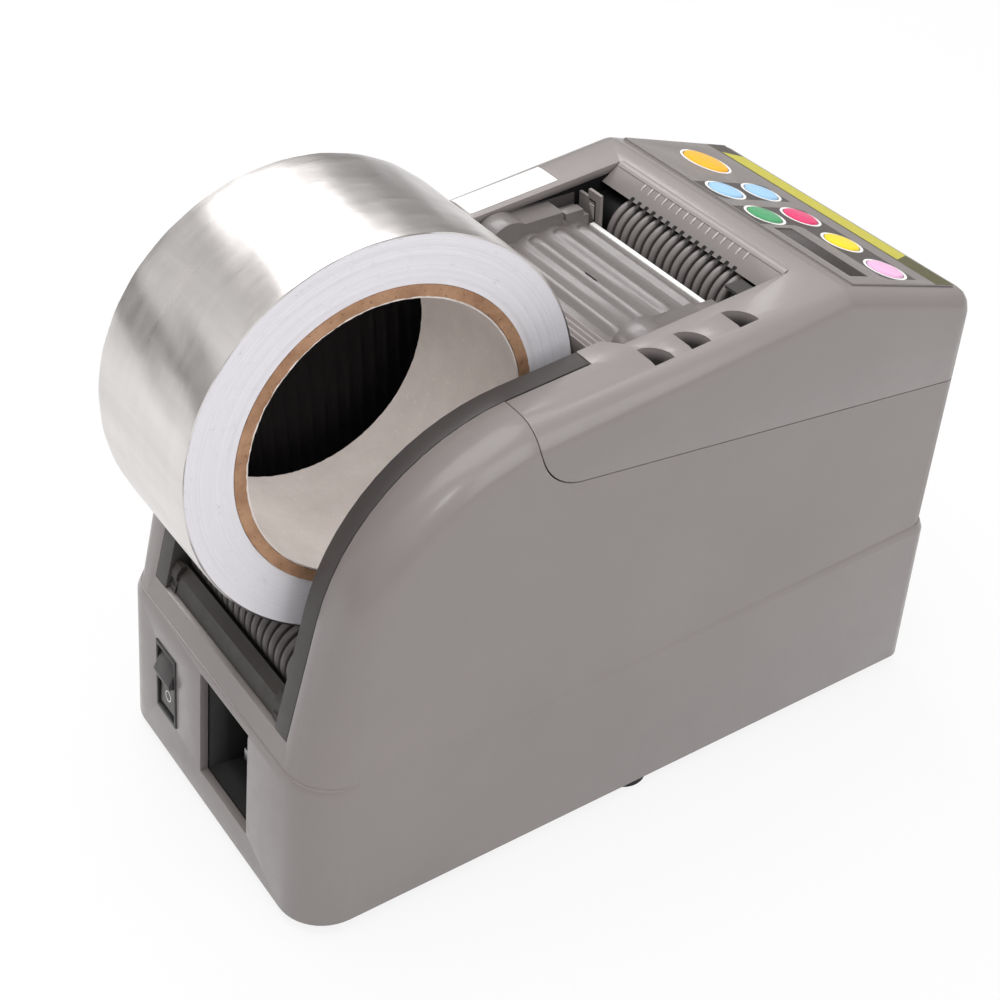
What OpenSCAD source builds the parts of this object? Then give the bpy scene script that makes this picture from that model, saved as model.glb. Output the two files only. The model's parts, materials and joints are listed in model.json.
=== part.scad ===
// Desktop electric tape dispenser: moulded case, roll bay with ringed support rollers,
// motor-driven feed rollers, lifting press lever, guillotine cutter and membrane key panel.
// Millimetres. X runs across, the keys face -Y, the roll sits at +Y and Z is up.
// The origin is on the table, under the middle of the dispenser and its loaded roll.

/* [Overall] */
// Width of the lower case
body_w = 117.4; // [112:0.2:124]
// Height of the crest above the table
body_h = 150; // [146:0.5:156]
// Level distance from the crest to the front of the loaded roll
deck_run = 66.4; // [64:0.2:72]
// Wall thickness of the case and the cover
wall = 2.5; // [2:0.1:3]
// Height of the rubber feet
foot_h = 3.5; // [2.5:0.5:5]

/* [Case form] */
// Height of the lower band's top edge at the rear
band_h = 51.9; // [48:0.1:55]
// How far the band's top edge rises towards the front
band_rise = 4.1; // [0:0.1:6]
// How far the lower band stands proud of the case above it
band_step = 1; // [0.6:0.1:1.6]
// How far the hump's top lies under the crest
hump_drop = 7.4; // [6:0.1:9]
// How far the hump's centre lies ahead of the roll's axis
hump_set = 31.9; // [29:0.1:34]
// Lean of the lower rear face, as run over rise
rear_lean = 0.1; // [0.06:0.01:0.12]
// Distance of the case's rear edge behind the rear support roller
rear_room = 25.6; // [24:0.1:28]
// Length of the sloping key panel, measured level
panel_run = 49.1; // [46:0.1:54]
// How far the panel falls from the crest to the lip
panel_drop = 14.9; // [13:0.1:18]
// How far the lip stands ahead of the bottom edge
lip_reach = 5.4; // [4:0.1:6]
// Edge radius along the deck
deck_r = 7; // [5:0.5:8]
// Edge radius round the hump
shoulder_r = 10.5; // [8:0.5:13]
// Radius of the rear corners
corner_r = 14.5; // [11:0.5:16]
// Radius of the front corners
front_r = 5; // [4:0.5:8]
// Radius of the crest and the lip
crest_r = 4; // [3.5:0.5:5]
// How far the cover's seam lies under the crest at the lip
seam_drop = 43.5; // [40:0.5:46]
// Rise of the seam towards the rear, as rise over run
seam_rise = 0.122; // [0.1:0.002:0.14]
// Radius of the seam's rear corner
seam_r = 14; // [8:0.5:16]
// Open line between the cover and the case
seam_gap = 0.3; // [0.2:0.05:0.5]

/* [Tape roll] */
// Outer diameter of the tape roll
roll_od = 114.7; // [103:0.1:126]
// Width of the tape
tape_w = 49.4; // [36:0.2:54]
// Inner diameter of the cardboard core
core_id = 79; // [76:0.5:80]
// Thickness of the cardboard core
core_t = 3.8; // [2.5:0.1:5]
// Height of the roll's underside above the table
roll_low = 73.25; // [72:0.05:75]

/* [Roll bay] */
// Distance of the roll bay's sides from the case's sides
bay_room = 24.9; // [24:0.1:27]
// Width of the bay frame's rim
rim_w = 6.6; // [5.5:0.1:8]
// Thickness of the bay frames
frame_t = 3; // [2.5:0.1:4]
// Height of the rear sill under the bay's ledge
sill_h = 59; // [57:0.1:61]
// Radius of the ringed rollers
ring_r = 9.5; // [8.5:0.1:10]
// Count of rings on each feed roller
rings = 16; // [12:1:18]
// Angle of each support roller from straight under the roll
support_a = 22; // [18:0.5:26]
// Running gap between the rollers and what they carry
roll_gap = 0.3; // [0.2:0.05:0.5]

/* [Feed] */
// Distance of the feed rollers behind the crest
feed_set = 10.1; // [9:0.1:11]
// How far the upper feed roller's axis lies under the crest
feed_drop = 15.5; // [14.5:0.1:16.5]
// Radius of the feed shafts
shaft_r = 3; // [2.5:0.1:3.5]
// Level distance from the lever's hinge to the front of the roll
hinge_set = 15.9; // [15:0.1:18]
// How far the lever's hinge lies under the crest
hinge_drop = 13.7; // [13.4:0.1:14.5]
// Distance of the feed well's sides from the case's sides
well_room = 20.2; // [19.5:0.1:22]
// Width of each side arm of the lever
arm_w = 8; // [6:0.1:9]
// Count of ridges on the lever's plate
ridges = 4; // [3:1:6]
// Height of the ridges
ridge_h = 0.9; // [0.5:0.1:1.2]
// Radius of the lever's ears
ear_r = 9; // [8:0.1:9.2]
// Radius of the guide roller
guide_r = 4.6; // [4:0.1:4.8]
// Thickness of the steel side plates
plate_t = 2; // [1.5:0.1:2.4]
// Teeth of each roller gear
sync_teeth = 20; // [18:1:22]
// Module of the drive gears
gear_m = 1; // [0.95:0.05:1.05]
// Teeth of the drive gear on the lower feed shaft
drive_teeth = 24; // [22:1:26]
// Teeth of the idler gear
idler_teeth = 30; // [28:1:32]
// Teeth of the motor pinion
pinion_teeth = 12; // [12:1:14]
// Thickness of the gears
gear_t = 5; // [4:0.5:6]
// Radius of the feed motor and of the cutter motor
motor_r = 14; // [12:0.5:14]

/* [Cutter] */
// Level distance from the feed rollers forward to the blades
blade_run = 28.4; // [27.5:0.1:29]
// Thickness of the moving blade
blade_t = 1; // [0.8:0.1:1.2]
// Crank radius
crank_r = 5; // [4:0.1:5.5]
// Radius of the crank pin
crank_pin_r = 1.5; // [1.2:0.1:1.8]
// Room round the crank pin in the yoke
yoke_gap = 0.3; // [0.25:0.05:0.5]
// Radius of the guide rods
rod_r = 2; // [1.5:0.1:2.2]

/* [Panel] */
// Long half axis of a key
key_a = 5.7; // [5:0.1:6.4]
// Short half axis of a key
key_b = 4.9; // [4.2:0.1:5.4]
// Long half axis of the large key
big_a = 8.4; // [7:0.1:9]
// Short half axis of the large key
big_b = 6.1; // [5:0.1:7]
// Distance of the rear key row down the slope from the crest
row_rear = 12; // [11.5:0.1:13]
// Distance of the front key row down the slope from the crest
row_front = 26.8; // [26:0.1:29]
// Travel of a key
key_travel = 0.5; // [0.3:0.05:0.6]
// Thickness of the panel overlay
overlay_t = 0.8; // [0.6:0.1:1]

/* [Rear] */
// Width of the inlet recess
inlet_w = 29.2; // [26:0.1:31]
// Height of the inlet recess
inlet_h = 36.4; // [30:0.2:37]
// Width of the power switch
switch_w = 13.4; // [12:0.1:14]
// Height of the power switch
switch_h = 25.5; // [24:0.1:27]

/* [Hidden] */
$fn = 48;

// Clearances that several pieces share
run_gap = 0.05;
seat_gap = 0.03;
fit_gap = 0.2;
move_gap = 0.5;
slab = 0.3;

// Lengthwise stations: the lip, the crest and the roll share out the overall length
overall_l = panel_run + deck_run + roll_od;
y_lip = -overall_l / 2;
y_crest = y_lip + panel_run;
y_front = y_lip + lip_reach;
roll_r = roll_od / 2;
roll_h = roll_low + roll_r;
y_roll = overall_l / 2 - roll_r;
support_d = roll_r + ring_r + roll_gap;
support_y = support_d * sin(support_a);
support_z = roll_h - support_d * cos(support_a);
y_rear = y_roll + support_y + rear_room;
hump_h = body_h - hump_drop;
hump_r = 0.44 * body_h;
y_hump = y_roll - hump_set;
z_hump = hump_h - hump_r;
y_feed = y_crest + feed_set;
y_hinge = y_roll - roll_r - hinge_set;
y_blade = y_feed - blade_run;
feed_h = body_h - feed_drop;
hinge_h = body_h - hinge_drop;

// Case levels
base_t = 2;
base_top = foot_h + base_t;
band_fade = 3;
front_lean = 0.035;
post_r = 4;
knee_h = band_h - post_r / 2;
deck_slope = (body_h - hump_h) / (y_hump - y_crest);
panel_a = atan(panel_drop / (panel_run - crest_r));
half_w = body_w / 2;
upper_w = half_w - band_step;
inset_steps = [0, 0.5, 1.4, 2.8, 4.6, 7, 10, corner_r];
inner_steps = [0, 2.5, 6.5, 11, corner_r];
function inset(r, e) = e >= r ? 0 : r - sqrt(r * r - (r - e) * (r - e));
function rear_y(z) = y_rear - rear_lean * (z - foot_h);
function front_y(z) = y_front - front_lean * (z - foot_h);
function deck_z(y) = body_h - deck_slope * (y - y_crest);
function seam_z(y) = body_h - seam_drop + seam_rise * (y - y_lip);

// Roll bay
bay_hw = half_w - bay_room;
rim_hw = bay_hw + rim_w;
rim_t = 3;
rim_set = 6.5;
y_rim = y_roll - roll_r + rim_set;
support_w = 2 * bay_hw - 3;
axle_r = 2.5;
floor_t = 2.5;
floor_top = support_z - ring_r - 2;
ledge_h = sill_h + 6;
ledge_t = 3;
ledge_in = 1.8;

// Feed well and lever
well_hw = half_w - well_room;
lever_w = 2 * (well_hw - move_gap);
ridge_w = lever_w - 2 * arm_w;
feed_w = ridge_w - 6;
slot_w = 2;
lever_rear = y_hinge + 6.5;
lever_front = y_feed + ring_r + 3.6;
lever_top = hinge_h + 4.3;
lever_t = 2.4;
arch_drop = 2.4;
pin_r = 1.6;
bridge_front = lever_rear + slot_w;
bridge_rear = y_roll - roll_r - 1.6;
nip_z = feed_h - ring_r - roll_gap / 2;
lower_h = feed_h - 2 * ring_r - roll_gap;
guide_y = y_hinge - 4;
guide_z = nip_z + guide_r;
guide_axle_r = 1.5;
side_in = well_hw + 0.5;
side_out = side_in + plate_t;
gear_in = side_out + 2.5;
shaft_end = gear_in + gear_t + 2.5;
bush_r = shaft_r + 2;
sync_m = (2 * ring_r + roll_gap) / sync_teeth;
idler_a = 20;
drive_d = gear_m * (drive_teeth + idler_teeth) / 2;
idler_y = y_feed + drive_d * sin(idler_a);
idler_z = lower_h - drive_d * cos(idler_a);
pinion_y = idler_y;
pinion_z = idler_z - gear_m * (idler_teeth + pinion_teeth) / 2;
stud_r = 2.5;
motor_shaft_r = 2;
motor_l = 38;

// Cutter
stroke = crank_r * sqrt(2);
blade_gap = 0.3;
fixed_t = 1.5;
fixed_y = y_blade - blade_t / 2 - blade_gap - fixed_t;
bar_y = y_blade + blade_t / 2 + 0.1;
bar_t = 5.6;
bar_z = nip_z + 6.2;
bar_h = 7;
leg_w = 6;
leg_x = side_in - move_gap - leg_w / 2;
cross_drop = 22;
cross_z = nip_z - cross_drop;
cross_h = 6;
crank_y = y_blade - 3.6;
crank_z = cross_z - cross_drop;
crank_x = 14;
crank_t = 3;
yoke_x = crank_x + crank_t + 0.6;
yoke_t = 3;

// Panel places: across, and down the slope from the crest
overlay_hw = upper_w - deck_r + 1;
key_dx = 0.348 * overlay_hw;
key_x0 = 0.228 * overlay_hw;
big_x = key_x0 + 1.3 * key_dx;
big_up = 2.8;
overlay_proud = 0.4;
key_proud = 0.9;
key_foot = wall - key_travel - 0.05;
key_gap = 0.3;
overlay_v0 = 4;
overlay_v1 = (panel_run - crest_r) / cos(panel_a) - 1.5;
display_w = 0.62 * overlay_hw;
display_h = 7.5;
display_v = 11.3;
display_x = -0.6 * overlay_hw;

// Rear fittings, placed on the leaning rear face
rear_a = atan(rear_lean);
inlet_x = -9.4;
inlet_z = 31.8;
inlet_d = 20;
switch_x = 27.6;
switch_z = 29.7;
switch_d = 14;
rocker_r = 6;

plastic = "#8f8986";
dark_plastic = "#6e6966";
black = "#1d1c1d";
steel = "#b9bcc0";
pale = "#d9dade";

// Side view of the upper case at the inset e from its side: y, z and radius of each corner
function corners(e) = [
    [rear_y(knee_h) - band_step - post_r - inset(corner_r, e), knee_h, post_r],
    [y_hump, z_hump, hump_r - inset(shoulder_r, e)],
    [y_crest, body_h - crest_r - inset(deck_r, e), crest_r],
    [y_lip + crest_r + inset(front_r, e), body_h - panel_drop - crest_r - inset(deck_r, e), crest_r],
    [y_front + post_r + inset(front_r, e), band_h - 2 * post_r, post_r]
];

// Rear face of the upper case behind the bay: the line that touches the knee and the hump
function back_a() = let (c = corners(corner_r)) touch_a(c[0], c[1]);
function back_y(z) =
    let (k = corners(corner_r)[0], a = back_a())
    k[0] + (k[2] + (k[1] - z) * sin(a)) / cos(a);

// Angle of the outward normal of the line that touches two corners
function touch_a(p, q) =
    let (d = [q[0] - p[0], q[1] - p[1]])
    atan2(d[1], d[0]) - 90 + asin((p[2] - q[2]) / norm(d));

// Outline round a ring of corners, drawn in by g
function belt(c, g) =
    [for (i = [0 : len(c) - 1])
        let (
            p = c[i],
            a0 = touch_a(c[(i + len(c) - 1) % len(c)], p),
            span = (touch_a(p, c[(i + 1) % len(c)]) - a0 + 720) % 360,
            n = ceil(span / 5)
        )
        for (k = [0 : n])
            [p[0] + (p[2] - g) * cos(a0 + span * k / n), p[1] + (p[2] - g) * sin(a0 + span * k / n)]];

// The case above the lower band, drawn in by g on all sides
module upper_form(g, steps) {
    hull() for (e = steps, s = [-1, 1], c = corners(e))
        translate([s * (upper_w - e - g - slab / 2) - slab / 2, c[0], c[1]])
            rotate([0, 90, 0]) cylinder(r = c[2] - g, h = slab, $fn = 64);
}

// One plan outline of the lower band at height z, raised at the front by rise
module band_ring(z, rise, g) {
    for (s = [-1, 1]) {
        translate([s * (half_w - corner_r), rear_y(z) - corner_r, z])
            cylinder(r = corner_r - g, h = slab);
        translate([s * (half_w - front_r), front_y(z + rise) + front_r, z + rise])
            cylinder(r = front_r - g, h = slab);
    }
}

// The lower band, drawn in by g, from z0 up to its faded and rising top edge
module band_form(g, z0) {
    hull() {
        band_ring(z0, 0, g);
        band_ring(band_h - band_fade, band_rise, g);
        band_ring(band_h - slab, band_rise, g + band_step);
    }
}

module case_form() {
    band_form(0, foot_h);
    upper_form(0, inset_steps);
}

module case_hollow() {
    band_form(wall, foot_h - 1);
    upper_form(wall, inner_steps);
}

seam_past = 7.2;

// Side view of what belongs to the top cover, drawn in by g at the seam
function seam_outline(g) =
    let (
        a = atan(seam_rise),
        y_end = y_hump + seam_past - g,
        cy = y_end - seam_r,
        cz = seam_z(cy) + (seam_r + g) / cos(a),
        low = [y_lip - 10, seam_z(y_lip - 10) + g / cos(a)],
        bend = [for (t = [-90 + a : 8 : 0]) [cy + seam_r * cos(t), cz + seam_r * sin(t)]]
    )
    concat([low], bend, [[y_end, body_h + 10], [y_lip - 10, body_h + 10]]);

module across(w) {
    translate([-w / 2, 0, 0]) rotate([90, 0, 90]) linear_extrude(w) children();
}

module cover_zone(g) {
    across(body_w + 10) polygon(seam_outline(g));
}

// A cylinder along X between two stations
module rod_x(x0, x1, y, z, r) {
    translate([x0, y, z]) rotate([0, 90, 0]) cylinder(r = r, h = x1 - x0);
}

module box(x0, x1, y0, y1, z0, z1) {
    translate([x0, y0, z0]) cube([x1 - x0, y1 - y0, z1 - z0]);
}

// The rear face's own frame: x across, y up the face, z out of it
module on_rear(x, z) {
    translate([x, rear_y(z), z]) rotate([90 - rear_a, 0, 180]) children();
}

// A plate centred in x and y, t thick, standing on z = 0
module slab_plate(w, h, t) {
    translate([-w / 2, -h / 2, 0]) cube([w, h, t]);
}

// The panel's own frame: x across, y up the slope from the crest, z out of it
module on_panel() {
    translate([0, y_crest - crest_r * sin(panel_a), body_h - crest_r + crest_r * cos(panel_a)])
        rotate([panel_a, 0, 0]) children();
}

function oval(a, b) = [for (i = [0 : 35]) [a * cos(10 * i), b * sin(10 * i)]];

module oval_plate(a, b, z0, z1) {
    translate([0, 0, z0]) linear_extrude(z1 - z0) polygon(oval(a, b));
}

// Each key: across, down the slope, and its half axes
KEYS = [
    [big_x, row_front - big_up, big_a, big_b],
    [key_x0, row_rear, key_a, key_b],
    [key_x0, row_front, key_a, key_b],
    [key_x0 - key_dx, row_rear, key_a, key_b],
    [key_x0 - key_dx, row_front, key_a, key_b],
    [key_x0 - 2 * key_dx, row_front, key_a, key_b],
    [key_x0 - 3 * key_dx, row_front, key_a, key_b]
];

// Casing

boss_r = 4;
screw_r = 1.5;
boss_top = 30;
boss_x = half_w - wall - boss_r - 1;
boss_ys = [y_front + wall + 12, y_rear - wall - 16];

module lower_case() {
    color(plastic) {
        difference() {
            case_form();
            case_hollow();
            cover_zone(0);
            box(-rim_hw, rim_hw, y_rim, y_rear + 10, sill_h, body_h);
            on_rear(inlet_x, inlet_z)
                translate([0, 0, -4 * wall]) slab_plate(inlet_w, inlet_h, 8 * wall);
            on_rear(switch_x, switch_z)
                translate([0, 0, -4 * wall]) slab_plate(switch_w, switch_h, 8 * wall);
        }
        for (x = [-boss_x, boss_x], y = boss_ys)
            translate([x, y, base_top]) difference() {
                cylinder(r = boss_r, h = boss_top - base_top);
                translate([0, 0, -1]) cylinder(r = screw_r + run_gap, h = 16);
            }
        for (s = [-1, 1], y = boss_ys)
            box(s > 0 ? boss_x + boss_r - 1 : -half_w + wall - 0.5,
                s > 0 ? half_w - wall + 0.5 : -boss_x - boss_r + 1, y - 1, y + 1, base_top, boss_top);
    }
}

pocket_w = 8.2;
pocket_l = 6.2;
pocket_d = 5;
pocket_x = well_hw + 4.2;
pocket_ys = [y_hinge + 9.5, y_hinge - 2.2, y_hinge - 17.9];

// Plan of a finger pocket: square at the rear and the outside, round at its inner front corner
function pocket_plan(g) =
    concat([[-g, g], [pocket_w + g, g]],
        [for (t = [0 : 15 : 90]) [
            pocket_w + g - (pocket_w + 2 * g) * sin(t),
            g - (pocket_l + 2 * g) * cos(t)]]);

// Finger pockets of the left deck widened by g, from d under the deck to up above it
module pockets(g, d, up) {
    for (y = pocket_ys)
        mirror([1, 0, 0]) translate([pocket_x, y, deck_z(y) - d])
            linear_extrude(d + up) polygon(pocket_plan(g));
}

comb_front = y_feed - 3.8;
comb_rear = y_feed + 2.8;
bay_flare = 4;
mouth_hw = feed_w / 2 + 4.5;
mouth_z0 = nip_z - 6;
mouth_z1 = nip_z + 4.5;
skirt_t = 1.2;
skirt_end = y_feed + ring_r + 3;

module well_plan() {
    polygon([
        [bay_hw, y_rim + 1], [bay_hw, bridge_front + 6],
        [well_hw, bridge_front + 6 - bay_flare], [well_hw, comb_front],
        [-well_hw, comb_front], [-well_hw, bridge_front + 6 - bay_flare],
        [-bay_hw, bridge_front + 6], [-bay_hw, y_rim + 1]
    ]);
}

module top_cover() {
    color(plastic) difference() {
        union() {
            difference() {
                intersection() {
                    upper_form(0, inset_steps);
                    cover_zone(seam_gap);
                }
                upper_form(wall, inner_steps);
            }
            pockets(skirt_t, pocket_d + skirt_t, -wall / 2);
            for (s = [0, 1])
                mirror([s, 0, 0]) box(well_hw, well_hw + skirt_t, skirt_end, bridge_front + 1,
                    deck_z(skirt_end) - pocket_d - 4, deck_z(bridge_front) - wall / 2);
        }
        translate([0, 0, feed_h - 20]) linear_extrude(60) well_plan();
        box(-rim_hw - seam_gap, rim_hw + seam_gap, y_rim - seam_gap, y_rear, sill_h, body_h + 10);
        pockets(0, pocket_d, wall);
        box(-mouth_hw, mouth_hw, y_lip - 5, y_blade - 8, mouth_z0, mouth_z1);
        on_panel() {
            translate([-overlay_hw - fit_gap, -overlay_v1 - fit_gap, -overlay_t + overlay_proud])
                cube([2 * (overlay_hw + fit_gap), overlay_v1 - overlay_v0 + 2 * fit_gap, 10]);
            for (k = KEYS)
                translate([k[0], -k[1], 0]) oval_plate(k[2] + key_gap, k[3] + key_gap, -2 * wall, wall);
        }
    }
}

base_in = wall + seam_gap;

module base_plate() {
    color(dark_plastic) difference() {
        intersection() {
            band_form(base_in, foot_h - 1);
            box(-half_w, half_w, y_front - 10, y_rear + 10, foot_h, base_top);
        }
        for (x = [-boss_x, boss_x], y = boss_ys)
            translate([x, y, 0]) cylinder(r = screw_r + fit_gap, h = 2 * base_top);
        for (i = [-4 : 4])
            box(-12, 12, 6 * i - 1, 6 * i + 1, 0, base_top + 1);
    }
}

foot_r = 7;
foot_rows = [
    [half_w - 14, y_front + 30], [half_w - foot_r - 0.4, (y_front + y_rear) / 2 - 3],
    [half_w - 14, y_rear - 34]
];

module rubber_feet() {
    color(black) for (s = [-1, 1], f = foot_rows)
        translate([s * f[0], f[1], 0]) rotate_extrude()
            polygon([[0, 0], [foot_r - 1.2, 0], [foot_r, 1.2], [foot_r, foot_h], [0, foot_h]]);
}

module base_screws() {
    color(steel) for (x = [-boss_x, boss_x], y = boss_ys)
        translate([x, y, 0]) {
            translate([0, 0, foot_h - 2]) cylinder(r = 2.9, h = 2);
            translate([0, 0, foot_h - 0.5]) cylinder(r = screw_r, h = 14);
        }
}

// Roll bay

// Outline of the case where the bay frames stand, above the rear sill and drawn in by g
module rim_outline(g) {
    intersection() {
        polygon(belt(corners(corner_r), g));
        translate([y_rim, sill_h + seam_gap]) square([y_rear, body_h]);
    }
}

module bay_frame() {
    difference() {
        union() {
            translate([bay_hw, 0, 0]) rotate([90, 0, 90]) {
                linear_extrude(frame_t) rim_outline(0);
                linear_extrude(rim_w - seam_gap) difference() {
                    rim_outline(0);
                    polygon(belt(corners(corner_r), rim_t));
                }
            }
            box(bay_hw, bay_hw + frame_t, y_rim, tray_rear, base_top, sill_h + 1);
        }
        for (s = [-1, 1])
            rod_x(0, half_w, y_roll + s * support_y, support_z, axle_r + seat_gap);
        on_rear(switch_x, switch_z)
            translate([0, 0, -switch_d - 4]) slab_plate(switch_w + 4, switch_h + 4, 3 * switch_d);
    }
}

module left_bay_frame() { color(dark_plastic) mirror([1, 0, 0]) bay_frame(); }
module right_bay_frame() { color(dark_plastic) bay_frame(); }

tray_hw = bay_hw - fit_gap;
tray_front = bridge_rear - 5;
tray_rear = back_y(sill_h) - wall / cos(back_a()) - seam_gap;
bridge_hw = ridge_w / 2 - 0.5;
bridge_base = lever_top - 6;

module bay_tray() {
    color(dark_plastic) {
        box(-tray_hw, tray_hw, tray_front, tray_rear, floor_top - floor_t, floor_top);
        box(-bridge_hw, bridge_hw, tray_front, tray_front + 2, floor_top - 0.5, bridge_base);
        across(2 * tray_hw) polygon([
            [back_y(sill_h) - ledge_in, sill_h + fit_gap], [back_y(ledge_h) - ledge_in, ledge_h],
            [back_y(ledge_h) - ledge_in - ledge_t, ledge_h], [tray_rear - ledge_t, floor_top - 0.5],
            [tray_rear, floor_top - 0.5], [tray_rear, sill_h + fit_gap]
        ]);
    }
}

module entry_bridge() {
    n = 3;
    pitch = (bridge_rear - bridge_front) / n;
    color(plastic) across(2 * bridge_hw) polygon(concat(
        [[bridge_front, bridge_base]],
        [for (i = [0 : 6 * n])
            [bridge_front + pitch * i / 6, lever_top - 1 + 0.6 * sin(60 * i)]],
        [[bridge_rear, bridge_base]]));
}

// Ringed roller on a bore, w long, with n rings of radius r and grooves between them
function ring_outline(w, n, r, groove) =
    let (p = w / n, g = p * 0.34, c = p * 0.16)
    [for (i = [0 : n - 1], q = [
        [r - groove, 0], [r - groove, g / 2], [r - c, g / 2], [r, g / 2 + c],
        [r, p - g / 2 - c], [r - c, p - g / 2], [r - groove, p - g / 2]])
        [q[0], -w / 2 + i * p + q[1]]];

ring_groove = 2.4;

module ringed_roller(w, n, bore) {
    rotate([0, 90, 0]) rotate_extrude() polygon(concat(
        [[bore, -w / 2]], ring_outline(w, n, ring_r, ring_groove),
        [[ring_r - ring_groove, w / 2], [bore, w / 2]]));
}

support_rings = round(rings * support_w / feed_w);

module rear_support_roller() {
    color(dark_plastic) translate([0, y_roll + support_y, support_z])
        ringed_roller(support_w, support_rings, axle_r + run_gap);
}

module front_support_roller() {
    color(dark_plastic) translate([0, y_roll - support_y, support_z])
        ringed_roller(support_w, support_rings, axle_r + run_gap);
}

module roller_axles() {
    color(steel) for (s = [-1, 1])
        rod_x(-bay_hw - frame_t, bay_hw + frame_t, y_roll + s * support_y, support_z, axle_r);
}

module tape_winding() {
    color(pale) translate([-tape_w / 2, y_roll, roll_h]) rotate([0, 90, 0]) difference() {
        cylinder(r = roll_r, h = tape_w, $fn = 96);
        translate([0, 0, -1]) cylinder(r = core_id / 2 + core_t + seat_gap, h = tape_w + 2, $fn = 96);
    }
}

module tape_core() {
    color("#b08264") translate([-tape_w / 2 - 0.3, y_roll, roll_h]) rotate([0, 90, 0]) difference() {
        cylinder(r = core_id / 2 + core_t, h = tape_w + 0.6, $fn = 96);
        translate([0, 0, -1]) cylinder(r = core_id / 2, h = tape_w + 3, $fn = 96);
    }
}

// Feed unit

plate_top = hinge_h + 2.6;

module feed_plate() {
    difference() {
        translate([side_in, 0, 0]) rotate([90, 0, 90]) linear_extrude(plate_t) polygon([
            [y_blade - 12, base_top], [y_hinge + 12, base_top], [y_hinge + 12, plate_top - 8],
            [y_hinge + 6, plate_top], [y_feed + ring_r + 2, plate_top],
            [y_feed + ring_r - 2, feed_h + 6.5], [y_feed - ring_r, feed_h + 6.5],
            [y_blade + 4, nip_z + 14], [y_blade - 12, nip_z + 8]
        ]);
        for (z = [feed_h, lower_h]) rod_x(0, half_w, y_feed, z, bush_r + seat_gap);
        rod_x(0, half_w, y_hinge, hinge_h, pin_r + seat_gap);
        rod_x(0, half_w, guide_y, guide_z, guide_axle_r + seat_gap);
    }
}

module left_feed_plate() { color(steel) mirror([1, 0, 0]) feed_plate(); }

module right_feed_plate() {
    color(steel) difference() {
        feed_plate();
        rod_x(0, half_w, idler_y, idler_z, stud_r + seat_gap);
        rod_x(0, half_w, pinion_y, pinion_z, motor_shaft_r + 1.5);
    }
}

module shaft_bushes() {
    color("#b5894a") for (s = [0, 1], z = [feed_h, lower_h])
        mirror([s, 0, 0]) difference() {
            union() {
                rod_x(side_in - 0.4, side_out + 0.4, y_feed, z, bush_r);
                rod_x(side_out + seat_gap, side_out + 1, y_feed, z, bush_r + 1.2);
            }
            rod_x(0, half_w, y_feed, z, shaft_r + run_gap);
        }
}

module hinge_pins() {
    color(steel) for (s = [0, 1])
        mirror([s, 0, 0]) rod_x(ridge_w / 2 + 1, side_out, y_hinge, hinge_h, pin_r);
}

module guide_axle() {
    color(steel) rod_x(-side_out, side_out, guide_y, guide_z, guide_axle_r);
}

module guide_roller() {
    color(dark_plastic) difference() {
        rod_x(-feed_w / 2, feed_w / 2, guide_y, guide_z, guide_r);
        rod_x(-half_w, half_w, guide_y, guide_z, guide_axle_r + run_gap);
    }
}

lever_l = lever_rear - lever_front;

// Top line of the lever's plate at the share t of its length: a shallow arch with ridges
function lever_line(t) =
    lever_top - arch_drop * pow(2 * t - 1, 2) + ridge_h * (1 - cos(360 * ridges * t)) / 2 - ridge_h;

module press_lever() {
    n = 12 * ridges;
    color(plastic) {
        across(ridge_w + 1) polygon(concat(
            [for (i = [0 : n]) [lever_rear - lever_l * i / n, lever_line(i / n)]],
            [for (i = [12 : -1 : 0])
                [lever_rear - lever_l * i / 12,
                    lever_top - lever_t - ridge_h - arch_drop * pow(i / 6 - 1, 2)]]));
        for (s = [0, 1]) mirror([s, 0, 0]) lever_arm();
    }
}

// One side arm: a half-round ear on the hinge, a block ahead of it and a lower step
module lever_arm() {
    x0 = ridge_w / 2;
    x1 = lever_w / 2;
    under = lever_top - lever_t - 2.6;
    arm_l = y_hinge - ear_r - lever_front;
    difference() {
        union() {
            intersection() {
                rod_x(x0, x1, y_hinge, hinge_h, ear_r);
                box(x0, x1, y_hinge - ear_r, y_hinge + ear_r, hinge_h, body_h);
            }
            rod_x(x0, x1, y_hinge, hinge_h, pin_r + 2.2);
            box(x0, x1, lever_front + arm_l / 2, y_hinge - 2, under, hinge_h + 7.6);
            box(x0, x1, lever_front, y_hinge - ear_r, under, lever_top);
            box(x0, x0 + 3.5, lever_front + arm_l / 9, lever_front + 0.45 * arm_l, under, hinge_h + 6.6);
        }
        rod_x(0, half_w, y_hinge, hinge_h, pin_r + run_gap);
    }
}

module lever_edge_bar() {
    color(pale) box(-ridge_w / 2 + 0.5, ridge_w / 2 - 0.5, lever_front - 1.6, lever_front - seat_gap,
        lever_top - arch_drop - 4.4, lever_top - arch_drop - 0.4);
}

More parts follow.
